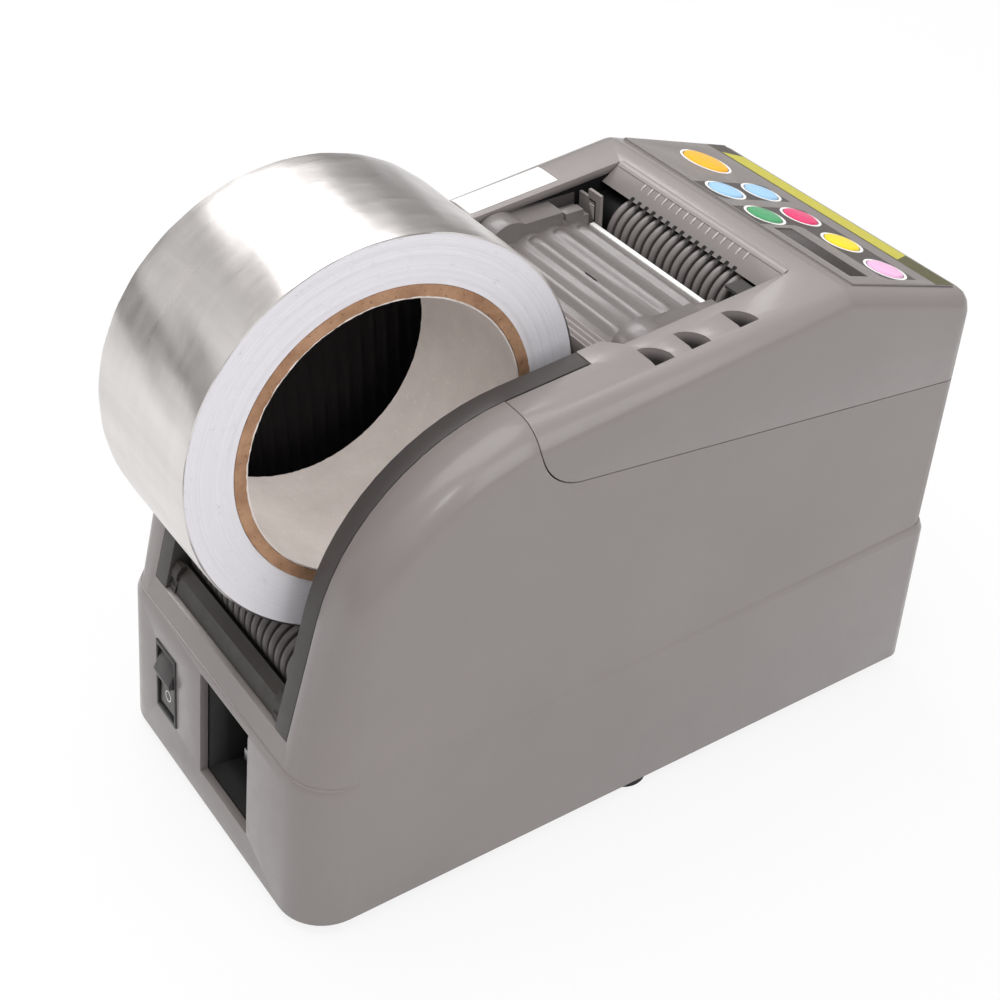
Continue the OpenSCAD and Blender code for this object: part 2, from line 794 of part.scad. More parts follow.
// Front wall of the feed well with ribs above and fingers that reach into the roller's grooves
module comb_plate() {
    p = feed_w / rings;
    finger_t = p * 0.34 - 2 * roll_gap * 0.6;
    z_top = deck_z(comb_front) - wall - seam_gap;
    color(plastic) {
        across(2 * well_hw - 0.6) polygon([
            [comb_front + 0.3, deck_z(comb_front) - 0.3], [comb_rear, feed_h + ring_r + 0.9],
            [comb_rear - 1.6, feed_h + ring_r + 0.5], [comb_front + 0.3, z_top - 1.2]
        ]);
        box(-well_hw + 0.3, well_hw - 0.3, comb_front - 3, comb_front + 1, z_top - 1.2, z_top);
        for (i = [1 : rings - 1])
            translate([-feed_w / 2 + i * p, 0, 0]) across(finger_t) polygon([
                [comb_rear - 0.1, feed_h + ring_r + 0.8], [comb_rear + 1, feed_h + ring_r - 0.4],
                [comb_rear - 1.6, feed_h + ring_r - 1.4], [comb_rear - 1.6, feed_h + ring_r + 0.6]
            ]);
        for (i = [1 : rings - 1])
            translate([-feed_w / 2 + i * p, 0, 0]) across(0.8) polygon([
                [comb_front + 0.3, deck_z(comb_front) - 0.4], [comb_front + 0.9, deck_z(comb_front) - 0.4],
                [comb_front + 3.2, deck_z(comb_front) - 2.6], [comb_front + 2.2, deck_z(comb_front) - 2.4]
            ]);
    }
}

module feed_shaft(z, x1) {
    rod_x(-shaft_end, x1, y_feed, z, shaft_r);
}

module upper_feed_shaft() { color(steel) feed_shaft(feed_h, side_out + 2); }
module lower_feed_shaft() { color(steel) feed_shaft(lower_h, shaft_end); }

module upper_feed_roller() {
    color(dark_plastic) translate([0, y_feed, feed_h])
        ringed_roller(feed_w, rings, shaft_r + seat_gap);
}

module lower_feed_roller() {
    color(black) translate([0, y_feed, lower_h])
        ringed_roller(feed_w, rings, shaft_r + seat_gap);
}

// Involute spur gears
pressure_a = 20;
thin = 0.86;
function inv_a(rb, r) = let (q = sqrt(max(r * r / (rb * rb) - 1, 0))) q * 180 / PI - atan(q);
function flank(z, m) =
    let (rp = m * z / 2, rb = rp * cos(pressure_a), r0 = max(rb, rp - 1.25 * m), r1 = rp + 0.9 * m)
    [for (i = [0 : 3]) let (r = r0 + (r1 - r0) * i / 3)
        [r, 90 / z * thin - inv_a(rb, r) + inv_a(rb, rp)]];
function gear_outline(z, m) =
    let (f = flank(z, m), root = m * z / 2 - 1.25 * m, w = f[0][1])
    [for (k = [0 : z - 1]) let (c = 360 * k / z) each concat(
        [root * [cos(c - w), sin(c - w)]],
        [for (i = [0 : 3]) f[i][0] * [cos(c - f[i][1]), sin(c - f[i][1])]],
        [for (i = [3 : -1 : 0]) f[i][0] * [cos(c + f[i][1]), sin(c + f[i][1])]],
        [root * [cos(c + w), sin(c + w)]])];

// A gear across X, with a tooth on the line that points to angle a in the side view
module gear(x0, y, z, teeth, m, a, bore) {
    translate([x0, y, z]) rotate([90, 0, 90]) difference() {
        linear_extrude(gear_t) rotate(a) polygon(gear_outline(teeth, m));
        translate([0, 0, -1]) cylinder(r = bore, h = gear_t + 2);
    }
}

sync_x = -gear_in - gear_t;

module lower_roller_gear() {
    color("#e3dfd2") gear(sync_x, y_feed, lower_h, sync_teeth, sync_m, 90, shaft_r + seat_gap);
}

module upper_roller_gear() {
    color("#e3dfd2") gear(sync_x, y_feed, feed_h, sync_teeth, sync_m, -90 + 180 / sync_teeth,
        shaft_r + seat_gap);
}

mesh_a = idler_a - 90;

module drive_gear() {
    color("#e3dfd2") gear(gear_in, y_feed, lower_h, drive_teeth, gear_m, mesh_a, shaft_r + seat_gap);
}

idler_mesh = mesh_a + 180 + 180 / idler_teeth;

module idler_gear() {
    color("#e3dfd2") gear(gear_in, idler_y, idler_z, idler_teeth, gear_m, idler_mesh, stud_r + run_gap);
}

module idler_stud() {
    color(steel) {
        rod_x(side_in, gear_in + gear_t + 0.6, idler_y, idler_z, stud_r);
        rod_x(side_out + seat_gap, gear_in - 0.3, idler_y, idler_z, stud_r + 2);
        rod_x(gear_in + gear_t + 0.3, gear_in + gear_t + 1.3, idler_y, idler_z, stud_r + 1.2);
    }
}

// The idler's teeth repeat every pitch; this is the turn left over along the line to the pinion
idler_pitch = 360 / idler_teeth;
idler_left = (270 - idler_mesh) - idler_pitch * round((270 - idler_mesh) / idler_pitch);
pinion_mesh = 90 + 180 / pinion_teeth + idler_left * idler_teeth / pinion_teeth;

module motor_pinion() {
    color("#c9a45a") {
        gear(gear_in, pinion_y, pinion_z, pinion_teeth, gear_m, pinion_mesh, motor_shaft_r - 0.5);
        rod_x(side_in - 14, gear_in + gear_t + 1, pinion_y, pinion_z, motor_shaft_r);
    }
}

// A round motor along X with its front face at x1, a gearbox ring, an end cap and terminals
module motor(x1, y, z) {
    difference() {
        union() {
            rod_x(x1 - motor_l, x1 - 12, y, z, motor_r - 0.6);
            rod_x(x1 - 12.5, x1, y, z, motor_r);
            rod_x(x1 - motor_l - 2, x1 - motor_l + 0.5, y, z, 5);
            for (s = [-1, 1])
                box(x1 - motor_l - 4, x1 - motor_l + 0.5, y + 8 * s - 1.4, y + 8 * s + 1.4, z - 0.3, z + 0.3);
        }
        rod_x(x1 - 16, x1 + 1, y, z, motor_shaft_r + run_gap);
    }
}

module feed_motor() { color(steel) motor(side_in - seat_gap, pinion_y, pinion_z); }

bracket_t = 2;
cutter_face = crank_x - bracket_t - 0.5;

module cutter_motor() { color(steel) motor(cutter_face - seat_gap, crank_y, crank_z); }

module cutter_bracket() {
    w = motor_r + 2;
    color(steel) difference() {
        union() {
            box(cutter_face, cutter_face + bracket_t, crank_y - w, crank_y + w, base_top, crank_z + motor_r - 0.5);
            box(cutter_face - 20, cutter_face + bracket_t, crank_y - w, crank_y + w, base_top, base_top + bracket_t);
        }
        rod_x(0, half_w, crank_y, crank_z, motor_shaft_r + 1.5);
    }
}

// Cutter

rest_pin = [crank_y + crank_r * cos(45), crank_z + crank_r * sin(45)];

module crank_disc() {
    color("#c9a45a") {
        rod_x(crank_x, crank_x + crank_t, crank_y, crank_z, crank_r + 3.5);
        rod_x(crank_x - 14, crank_x + 1, crank_y, crank_z, motor_shaft_r);
        rod_x(crank_x + crank_t - 0.5, yoke_x + yoke_t + 0.8, rest_pin[0], rest_pin[1], crank_pin_r);
    }
}

module blade_carriage() {
    slot_r = crank_pin_r + yoke_gap;
    y0 = rest_pin[0];
    y1 = crank_y + crank_r;
    yoke_end = crank_z + crank_r * sin(45) - slot_r - 4;
    color("#7d7f83") difference() {
        union() {
            box(-leg_x - leg_w / 2, leg_x + leg_w / 2, bar_y, bar_y + bar_t, bar_z, bar_z + bar_h);
            box(-leg_x - leg_w / 2, leg_x + leg_w / 2, bar_y, bar_y + bar_t, cross_z, cross_z + cross_h);
            for (s = [-1, 1])
                box(s * leg_x - leg_w / 2, s * leg_x + leg_w / 2, bar_y, bar_y + bar_t,
                    cross_z - 6, bar_z + bar_h);
            box(yoke_x, yoke_x + yoke_t, y0 - slot_r - 4, bar_y + bar_t, yoke_end, cross_z + cross_h);
        }
        for (s = [-1, 1])
            translate([s * leg_x, bar_y + bar_t / 2, 0]) cylinder(r = rod_r + run_gap, h = 2 * body_h);
        box(yoke_x - 1, yoke_x + yoke_t + 1, y0, y1, rest_pin[1] - slot_r, rest_pin[1] + slot_r);
        for (y = [y0, y1]) rod_x(yoke_x - 1, yoke_x + yoke_t + 1, y, rest_pin[1], slot_r);
    }
}

rod_bottom = cross_z - 6 - stroke - 10;

module guide_rods() {
    color(steel) for (s = [-1, 1]) {
        translate([s * leg_x, bar_y + bar_t / 2, rod_bottom])
            cylinder(r = rod_r, h = bar_z + bar_h + 1 - rod_bottom);
        box(s > 0 ? leg_x - leg_w / 2 : -side_in + fit_gap, s > 0 ? side_in - fit_gap : -leg_x + leg_w / 2,
            bar_y, bar_y + bar_t, rod_bottom - 4, rod_bottom + 1);
    }
}

module moving_blade() {
    w = feed_w + 6;
    slant = 1.6;
    color(pale) translate([0, bar_y - seat_gap, 0]) rotate([90, 0, 0]) linear_extrude(blade_t) polygon([
        [-w / 2, nip_z + 2.2], [w / 2, nip_z + 2.2 + slant], [w / 2, bar_z + bar_h], [-w / 2, bar_z + bar_h]
    ]);
}

block_t = 4.6;
block_h = 12;
block_top = nip_z - 2.8;

module fixed_blade() {
    color(pale) box(-feed_w / 2 - 3, feed_w / 2 + 3, fixed_y, fixed_y + fixed_t, block_top - 9, nip_z - 1.2);
}

module blade_block() {
    color("#7d7f83") box(-side_in + fit_gap, side_in - fit_gap, fixed_y - block_t - seat_gap,
        fixed_y - seat_gap, block_top - block_h, block_top);
}

chute_rear = fixed_y - block_t - 0.1;
chute_top = nip_z - 2;

module exit_guide() {
    color(dark_plastic) {
        across(2 * mouth_hw - 2) polygon([
            [chute_rear, chute_top], [y_lip + 5, chute_top], [y_lip + 1.5, chute_top - 1.6],
            [y_lip + 1, chute_top - 3.6], [y_lip + 3, chute_top - 3.6], [y_lip + 5, chute_top - 2],
            [chute_rear, chute_top - 2]
        ]);
        for (i = [-3 : 3])
            box(8 * i - 0.6, 8 * i + 0.6, y_lip + 6, chute_rear, chute_top - 0.2, chute_top + 0.5);
    }
}

module tape_sensor() {
    color(black) box(12, 24, chute_rear - 12, chute_rear - 3, chute_top - 10, chute_top - 2 - seat_gap);
}

// Panel

module panel_overlay() {
    color("#7c7775") on_panel() difference() {
        translate([-overlay_hw, -overlay_v1, -overlay_t + overlay_proud])
            cube([2 * overlay_hw, overlay_v1 - overlay_v0, overlay_t]);
        for (k = KEYS)
            translate([k[0], -k[1], 0]) oval_plate(k[2] + key_gap, k[3] + key_gap, -5, 5);
        translate([display_x - display_w / 2, -display_v - display_h / 2, -5]) cube([display_w, display_h, 10]);
    }
}

module display_window() {
    color("#3a3433") on_panel()
        translate([display_x - display_w / 2 + 0.1, -display_v - display_h / 2 + 0.1, -overlay_t + overlay_proud])
            cube([display_w - 0.2, display_h - 0.2, overlay_t - 0.15]);
}

board_t = 1.6;
board_rim = 6;

module key_board() {
    v0 = row_rear - key_b - board_rim / 6;
    v1 = row_front + big_b + board_rim / 2;
    color("#2f6b43") on_panel()
        translate([-overlay_hw + board_rim, -v1, -wall - board_t - seat_gap])
            cube([2 * (overlay_hw - board_rim), v1 - v0, board_t]);
}

module key(i, c) {
    k = KEYS[i];
    color(c) on_panel() translate([k[0], -k[1], 0]) {
        oval_plate(k[2], k[3], -key_foot, key_proud - 0.3);
        oval_plate(k[2] - 0.4, k[3] - 0.4, key_proud - 0.4, key_proud);
    }
}

module key_large() { key(0, "#f2a01e"); }
module key_blue_rear() { key(1, "#8fb9e6"); }
module key_blue_front() { key(2, "#8fb9e6"); }
module key_green() { key(3, "#3f9a63"); }
module key_red() { key(4, "#d8335f"); }
module key_yellow() { key(5, "#f4d11e"); }
module key_lilac() { key(6, "#e3a9da"); }

// Rear fittings and electrics

mouth_rim = 1.2;
mouth_d = 5;
socket_rim = 3.6;
socket_floor = 3;

module inlet_housing() {
    w = inlet_w - 0.4;
    h = inlet_h - 0.4;
    color(black) on_rear(inlet_x, inlet_z) difference() {
        translate([0, 0, -inlet_d]) slab_plate(w, h, inlet_d - wall);
        hull() {
            translate([0, 0, -wall]) slab_plate(w - 2 * mouth_rim, h - 2 * mouth_rim, 1);
            translate([0, 0, -wall - mouth_d]) slab_plate(w - 2 * socket_rim, h - 2 * socket_rim, 1);
        }
        translate([0, 0, -inlet_d + socket_floor])
            slab_plate(w - 2 * socket_rim, h - 2 * socket_rim, inlet_d);
    }
}

module inlet_pins() {
    color(steel) on_rear(inlet_x, inlet_z)
        for (p = [[-3.5, -7], [-3.5, 7], [3.5, 0]])
            translate([p[0] - 1, p[1] - 2, -inlet_d + socket_floor]) cube([2, 4, inlet_d / 2 - 2]);
}

bezel = 1.1;
bezel_end = 1.5;
pivot_d = 1.5;
rocker_half = 10.2;

module switch_frame() {
    w = switch_w - 0.3;
    h = switch_h - 0.3;
    color(black) on_rear(switch_x, switch_z) difference() {
        translate([0, 0, -switch_d]) slab_plate(w, h, switch_d + 0.4);
        translate([0, 0, -rocker_r - pivot_d - 1]) slab_plate(w - 2 * bezel, h - 2 * bezel_end, 2 * switch_d);
        translate([-w, 0, -pivot_d]) rotate([0, 90, 0]) cylinder(r = 1 + run_gap, h = 2 * w);
    }
}

// The rocker with its upper half pressed: a raised paddle above the pivot, a lower one under it
module power_rocker() {
    w = switch_w - 0.3 - 2 * bezel - 0.6;
    half = rocker_half;
    color("#3b3838") on_rear(switch_x, switch_z) {
        translate([-w / 2, 0, -pivot_d]) rotate([90, 0, 90]) linear_extrude(w) polygon([
            [-half, 1.1], [1.3, 0.8], [1.7, 3.1], [3.2, 3.3], [half, 0.2],
            [half - 1.5, -2.2], [3, -5], [-3, -5], [-half + 1.5, -2.2]
        ]);
        translate([-switch_w / 2 + 0.4, 0, -pivot_d]) rotate([0, 90, 0]) cylinder(r = 1, h = switch_w - 0.8);
    }
}

board_z = base_top + 8;

module main_board() {
    x = bay_hw - 2;
    y0 = y_hinge - 30;
    y1 = y_hinge + 24;
    color("#2f6b43") {
        box(-x, x, y0, y1, board_z, board_z + 1.6);
        for (a = [-x + 4, x - 4], b = [y0 + 4, y1 - 4])
            translate([a, b, base_top + seat_gap]) cylinder(r = 2.5, h = board_z - base_top);
        box(-20, -4, y0 + 8, y0 + 20, board_z + 1.5, board_z + 10);
        box(6, 24, y0 + 28, y0 + 42, board_z + 1.5, board_z + 6);
    }
}

module power_supply() {
    x = bay_hw - 5;
    y0 = y_rim + 12;
    y1 = rear_y(inlet_z) - inlet_d - 12;
    top = floor_top - floor_t - 12;
    slots = 6;
    pitch = (y1 - y0) / (slots + 1);
    color("#9a9da2") difference() {
        box(-x, x, y0, y1, base_top + seat_gap, top);
        for (i = [1 : slots]) box(-x - 1, x + 1, y0 + pitch * i - 1.2, y0 + pitch * i + 1.2, top - 4, top + 1);
    }
}

lower_case();
top_cover();
base_plate();
rubber_feet();
base_screws();
left_bay_frame();
right_bay_frame();
bay_tray();
entry_bridge();
comb_plate();
left_feed_plate();
right_feed_plate();
shaft_bushes();
roller_axles();
hinge_pins();
guide_axle();
panel_overlay();
display_window();
key_board();
switch_frame();
inlet_housing();
inlet_pins();
main_board();
power_supply();
feed_motor();
cutter_motor();
cutter_bracket();
idler_stud();
blade_block();
fixed_blade();
guide_rods();
exit_guide();
tape_sensor();
tape_winding();
tape_core();
rear_support_roller();
front_support_roller();
press_lever();
lever_edge_bar();
guide_roller();
upper_feed_roller();
upper_feed_shaft();
upper_roller_gear();
lower_feed_roller();
lower_feed_shaft();
lower_roller_gear();
drive_gear();
idler_gear();
motor_pinion();
blade_carriage();
moving_blade();
crank_disc();
key_large();
key_blue_rear();
key_blue_front();
key_green();
key_red();
key_yellow();
key_lilac();
power_rocker();
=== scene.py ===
"""Looks of the electric tape dispenser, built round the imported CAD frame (metres, Z up)."""

import json
import math
import random

import bmesh
import bpy
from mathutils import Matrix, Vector
from mathutils.bvhtree import BVHTree


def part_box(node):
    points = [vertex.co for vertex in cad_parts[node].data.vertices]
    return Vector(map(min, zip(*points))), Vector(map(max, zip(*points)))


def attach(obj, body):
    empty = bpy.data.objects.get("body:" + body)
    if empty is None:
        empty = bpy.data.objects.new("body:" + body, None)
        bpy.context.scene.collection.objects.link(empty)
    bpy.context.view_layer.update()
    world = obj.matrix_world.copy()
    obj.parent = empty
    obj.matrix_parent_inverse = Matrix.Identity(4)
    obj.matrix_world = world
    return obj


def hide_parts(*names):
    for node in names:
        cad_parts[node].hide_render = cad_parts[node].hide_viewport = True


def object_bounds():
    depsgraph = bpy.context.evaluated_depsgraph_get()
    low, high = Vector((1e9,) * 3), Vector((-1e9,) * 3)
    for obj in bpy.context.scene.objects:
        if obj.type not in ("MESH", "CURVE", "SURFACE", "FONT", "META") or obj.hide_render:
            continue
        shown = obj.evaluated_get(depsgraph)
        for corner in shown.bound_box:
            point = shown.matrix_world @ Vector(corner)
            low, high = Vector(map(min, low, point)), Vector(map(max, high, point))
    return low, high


MM = 0.001
SEED = 7

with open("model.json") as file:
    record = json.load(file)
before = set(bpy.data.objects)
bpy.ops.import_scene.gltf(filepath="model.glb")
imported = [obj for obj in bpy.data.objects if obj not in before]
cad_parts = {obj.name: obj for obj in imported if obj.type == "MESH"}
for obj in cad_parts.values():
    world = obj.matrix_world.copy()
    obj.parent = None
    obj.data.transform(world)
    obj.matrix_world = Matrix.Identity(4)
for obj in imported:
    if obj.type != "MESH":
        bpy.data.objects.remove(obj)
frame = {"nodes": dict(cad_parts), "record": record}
cad_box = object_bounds()
NODES = frame["nodes"]
rng = random.Random(SEED)

# Colours, linear values of the finished surfaces
CASE = (0.252, 0.226, 0.221)
FRAME_GREY = (0.063, 0.056, 0.055)
PRINT_WHITE = (0.86, 0.85, 0.84)
# Painted shade for the floors of the rollers' grooves
GROOVE_SHADE = (0.012, 0.011, 0.011)

# The sloping deck: its height where y is 0 and how it falls towards the rear
DECK_Z = 144.68 * MM
DECK_SLOPE = 0.0806
WALL = 2.5 * MM

# Gaps between a thin print or tile and what it lies on
HAIR = 0.002 * MM
GROUND_GAP = 0.005 * MM

# Where painted shade darkens a material: the deck's pockets and feed well, the comb's fingers, the rollers'
# grooves
POCKET_TOP = 0.8 * MM
POCKET_FULL_SHADE = 3.5 * MM
POCKETS_HW = 52 * MM
POCKETS_FRONT = -62 * MM
COMB_RISE = 0.85 * MM
RING_DEPTH = 2.4 * MM

# Grain of moulded plastic: scale of its noise and its depth
GRAIN_SCALE = 2600.0
GRAIN_DEPTH = 0.04 * MM


def centre_of(node):
    """Middle of a CAD node's box and its half size."""
    low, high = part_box(node)
    return (low + high) / 2, (high - low) / 2


# Materials


# Sockets of the colours in a mix node, whose names repeat
MIX_BASE, MIX_TOP, MIX_COLOUR = 6, 7, 2


class Graph:
    """A material's node tree with short calls to add and join nodes."""

    def __init__(self, name):
        self.material = bpy.data.materials.new(name)
        self.material.use_nodes = True
        self.tree = self.material.node_tree
        self.shader = self.tree.nodes["Principled BSDF"]
        self.point = self.add("ShaderNodeTexCoord").outputs["Object"]

    def add(self, kind, inputs=None, **settings):
        node = self.tree.nodes.new(kind)
        for key, value in settings.items():
            setattr(node, key, value)
        for key, value in (inputs or {}).items():
            self.put(node, key, value)
        return node

    def put(self, node, key, value):
        """Gives an input a value or a link; a colour may have three numbers."""
        socket = node.inputs[key]
        if isinstance(value, bpy.types.NodeSocket):
            self.tree.links.new(value, socket)
        elif socket.type == "RGBA":
            socket.default_value = (*value, 1.0)
        else:
            socket.default_value = value

    def set(self, key, value):
        self.put(self.shader, key, value)

    def vector_math(self, operation, *values):
        return self.add("ShaderNodeVectorMath", dict(enumerate(values)), operation=operation).outputs

    def axis_distance(self, middle=(0.0, 0.0, 0.0)):
        """Distance from the line along X through a point."""
        off = self.vector_math("SUBTRACT", self.point, middle)[0]
        flat = self.vector_math("MULTIPLY", off, (0.0, 1.0, 1.0))[0]
        return self.vector_math("LENGTH", flat)["Value"]

    def coordinates(self):
        return self.add("ShaderNodeSeparateXYZ", {"Vector": self.point}).outputs

    def stretched(self, scale):
        return self.add("ShaderNodeMapping", {"Vector": self.point, "Scale": scale}).outputs[0]

    def noise(self, scale, detail=3.0, rough=0.55, vector=None):
        node = self.add("ShaderNodeTexNoise", {"Vector": vector or self.point, "Scale": scale,
                                               "Detail": detail, "Roughness": rough})
        return node.outputs["Fac"]

    def spread(self, value, low, high, to_low, to_high):
        node = self.add("ShaderNodeMapRange", {"Value": value, "From Min": low, "From Max": high,
                                               "To Min": to_low, "To Max": to_high})
        return node.outputs[0]

    def over(self, factor, base, top):
        """Colour top laid over base by factor; each may be a socket or three numbers."""
        node = self.add("ShaderNodeMix", {"Factor": factor, MIX_BASE: base, MIX_TOP: top}, data_type="RGBA")
        return node.outputs[MIX_COLOUR]

    def math(self, operation, a, b=0.0):
        return self.add("ShaderNodeMath", {0: a, 1: b}, operation=operation).outputs[0]

    def bump(self, height, distance, strength=1.0):
        node = self.add("ShaderNodeBump", {"Height": height, "Distance": distance, "Strength": strength})
        self.set("Normal", node.outputs["Normal"])

    def grain(self):
        self.bump(self.noise(GRAIN_SCALE, 2.0, 0.5), GRAIN_DEPTH, 0.5)


def shade(colour, k):
    return tuple(c * k for c in colour)


def moulded(name, colour, rough=0.42, vary=0.06, coat=0.0, gloss=0.45, recess=None):
    """Satin moulded plastic: fine grain, faint flow clouds and scuffed gloss, with painted shade in a
    recess.
    """
    g = Graph(name)
    cloud = g.spread(g.noise(18.0, 4.0), 0.3, 0.7, 0.0, 1.0)
    scuff = g.noise(160.0, 5.0, 0.7)
    base = g.over(cloud, shade(colour, 1 - vary), shade(colour, 1 + vary))
    if recess:
        # Painted shade: where the recess mask grows, the colour falls to a fifth of itself
        base = g.over(recess(g), base, shade(colour, 0.22))
    g.set("Base Color", base)
    g.set("Roughness", g.spread(scuff, 0.3, 0.7, rough - 0.05, rough + 0.07))
    g.set("Specular IOR Level", gloss)
    if coat:
        g.set("Coat Weight", coat)
        g.set("Coat Roughness", 0.14)
    g.grain()
    return g.material


def deck_pocket_shade(g):
    """Painted shade: grows from 0 at the deck to 1 down in its pockets and on the edges of the feed well.
    """
    place = g.coordinates()
    deck = g.math("ADD", g.math("MULTIPLY", place["Y"], -DECK_SLOPE), DECK_Z)
    below = g.spread(g.math("SUBTRACT", deck, place["Z"]), POCKET_TOP, POCKET_FULL_SHADE, 0.0, 1.0)
    inside = g.math("LESS_THAN", g.math("ABSOLUTE", place["X"]), POCKETS_HW)
    behind = g.math("GREATER_THAN", place["Y"], POCKETS_FRONT)
    return g.math("MULTIPLY", below, g.math("MULTIPLY", inside, behind))


def comb_finger_shade(g):
    """1 on the comb's fingers, below its lower edge, where they get painted shade."""
    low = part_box("upper_feed_roller")[1].z + COMB_RISE
    return g.math("LESS_THAN", g.coordinates()["Z"], low)


def ringed(name, colour, node):
    """Moulded roller with painted shade in its grooves, told from its rings by the distance from the axis.
    """
    middle, half = centre_of(node)
    g = Graph(name)
    rings = g.over(g.noise(60.0), shade(colour, 0.93), shade(colour, 1.07))
    rise = g.spread(g.axis_distance(tuple(middle)), half.z - RING_DEPTH, half.z - RING_DEPTH / 4, 0.0, 1.0)
    g.set("Base Color", g.over(rise, GROOVE_SHADE, rings))
    g.set("Roughness", g.spread(g.noise(300.0), 0.3, 0.7, 0.36, 0.48))
    g.grain()
    return g.material


def metal(name, colour, rough=0.3, lines=(40.0, 900.0, 900.0)):
    """Bare metal with drawn or turned lines."""
    g = Graph(name)
    drawn = g.noise(1.0, 3.0, 0.6, g.stretched(lines))
    stain = g.noise(60.0, 3.0)
    g.set("Base Color", g.over(stain, shade(colour, 0.88), colour))
    g.set("Metallic", 1.0)
    g.set("Roughness", g.spread(drawn, 0.3, 0.7, rough - 0.07, rough + 0.1))
    g.bump(drawn, 0.02 * MM, 0.4)
    return g.material


def rubber(name, colour):
    """Matt rubber with dust in its pores."""
    g = Graph(name)
    dust = g.noise(220.0, 4.0, 0.65)
    g.set("Base Color", g.over(g.spread(dust, 0.45, 0.75, 0.0, 1.0), colour, shade(colour, 2.2)))
    g.set("Roughness", g.spread(dust, 0.3, 0.7, 0.66, 0.85))
    g.set("Specular IOR Level", 0.3)
    g.bump(g.noise(1500.0, 2.0), 0.06 * MM, 0.6)
    return g.material


def circuit_board(name):
    """Green lacquer over a grid of lighter tracks."""
    g = Graph(name)
    cells = g.add("ShaderNodeTexBrick", {"Vector": g.stretched((160.0, 160.0, 160.0)), "Scale": 1.0,
                                         "Mortar Size": 0.06})
    tracks = cells.outputs["Fac"]
    lacquer = g.over(g.noise(90.0), (0.012, 0.075, 0.03), (0.02, 0.11, 0.045))
    g.set("Base Color", g.over(g.spread(tracks, 0.0, 1.0, 0.0, 0.55), lacquer, (0.10, 0.22, 0.10)))
    g.set("Roughness", 0.38)
    g.bump(tracks, 0.04 * MM, 0.5)
    return g.material


def foil():
    """Aluminium tape: soft streaks across the web, faint scratches, ripples and creases."""
    g = Graph("foil")
    streak = g.noise(1.0, 4.0, 0.6, g.stretched((9.0, 70.0, 70.0)))
    scratch = g.noise(1.0, 2.0, 0.7, g.stretched((260.0, 40.0, 40.0)))
    ripple = g.noise(1.0, 2.0, 0.5, g.stretched((16.0, 34.0, 34.0)))
    crease = g.noise(1.0, 3.0, 0.6, g.stretched((120.0, 60.0, 60.0)))
    streaks = g.spread(streak, 0.3, 0.7, 0.0, 1.0)
    g.set("Base Color", g.over(streaks, (0.66, 0.63, 0.615), (0.80, 0.77, 0.755)))
    g.set("Metallic", 1.0)
    g.set("Roughness", g.spread(scratch, 0.3, 0.75, 0.27, 0.36))
    fine = g.math("ADD", g.math("MULTIPLY", crease, 0.35), g.math("MULTIPLY", scratch, 0.03))
    g.bump(g.math("ADD", g.math("MULTIPLY", ripple, 2.0), fine), 0.8 * MM, 0.4)
    return g.material


def wound_edge():
    """Side of the wound tape: pale liner edge with rings, scuffs and grey glue spots."""
    g = Graph("wound_edge")
    spacing = g.math("MULTIPLY", g.axis_distance(), 1900.0)
    rings = g.noise(1.0, 5.0, 0.75, g.add("ShaderNodeCombineXYZ", {"X": spacing}).outputs[0])
    scuff = g.noise(330.0, 6.0, 0.7)
    haze = g.noise(26.0, 3.0)
    pale = g.over(g.spread(rings, 0.3, 0.7, 0.0, 1.0), (0.76, 0.745, 0.80), (0.88, 0.86, 0.90))
    pale = g.over(g.spread(haze, 0.35, 0.7, 0.0, 0.25), pale, (0.86, 0.85, 0.88))
    spots = g.math("MULTIPLY", g.spread(scuff, 0.57, 0.7, 0.0, 0.7), g.spread(rings, 0.5, 0.62, 0.0, 1.0))
    g.set("Base Color", g.over(spots, pale, (0.26, 0.27, 0.30)))
    g.set("Roughness", 0.55)
    g.set("Specular IOR Level", 0.35)
    g.bump(g.math("ADD", rings, g.math("MULTIPLY", scuff, 0.6)), 0.2 * MM, 0.6)
    return g.material


def kraft(name, dark, light, flecks=0.0):
    """Cardboard: long fibres, flecks and a soft matt face."""
    g = Graph(name)
    fibre = g.noise(900.0, 6.0, 0.75)
    cloud = g.noise(140.0, 3.0)
    base = g.over(g.spread(cloud, 0.3, 0.7, 0.0, 1.0), dark, light)
    fleck = g.noise(520.0, 4.0, 0.7, g.stretched((1.0, 1.4, 1.4)))
    base = g.over(g.spread(fibre, 0.58, 0.75, 0.0, 0.8), base, shade(light, 1.3))
    g.set("Base Color", g.over(g.spread(fleck, 0.6, 0.7, 0.0, flecks), base, shade(dark, 0.4)))
    g.set("Roughness", 0.85)
    g.set("Specular IOR Level", 0.2)
    g.bump(fibre, 0.25 * MM, 0.9)
    return g.material


def printed(name, colour, rough=0.4, vary=0.05, grain=0.02 * MM):
    """Ink or film with a faint mottle and the overlay's fine texture."""
    g = Graph(name)
    mottle = g.noise(420.0, 3.0)
    g.set("Base Color", g.over(mottle, shade(colour, 1 - vary), shade(colour, 1 + vary)))
    g.set("Roughness", g.spread(g.noise(900.0), 0.3, 0.7, rough - 0.05, rough + 0.05))
    if grain:
        g.bump(g.noise(3000.0, 2.0), grain, 0.4)
    return g.material


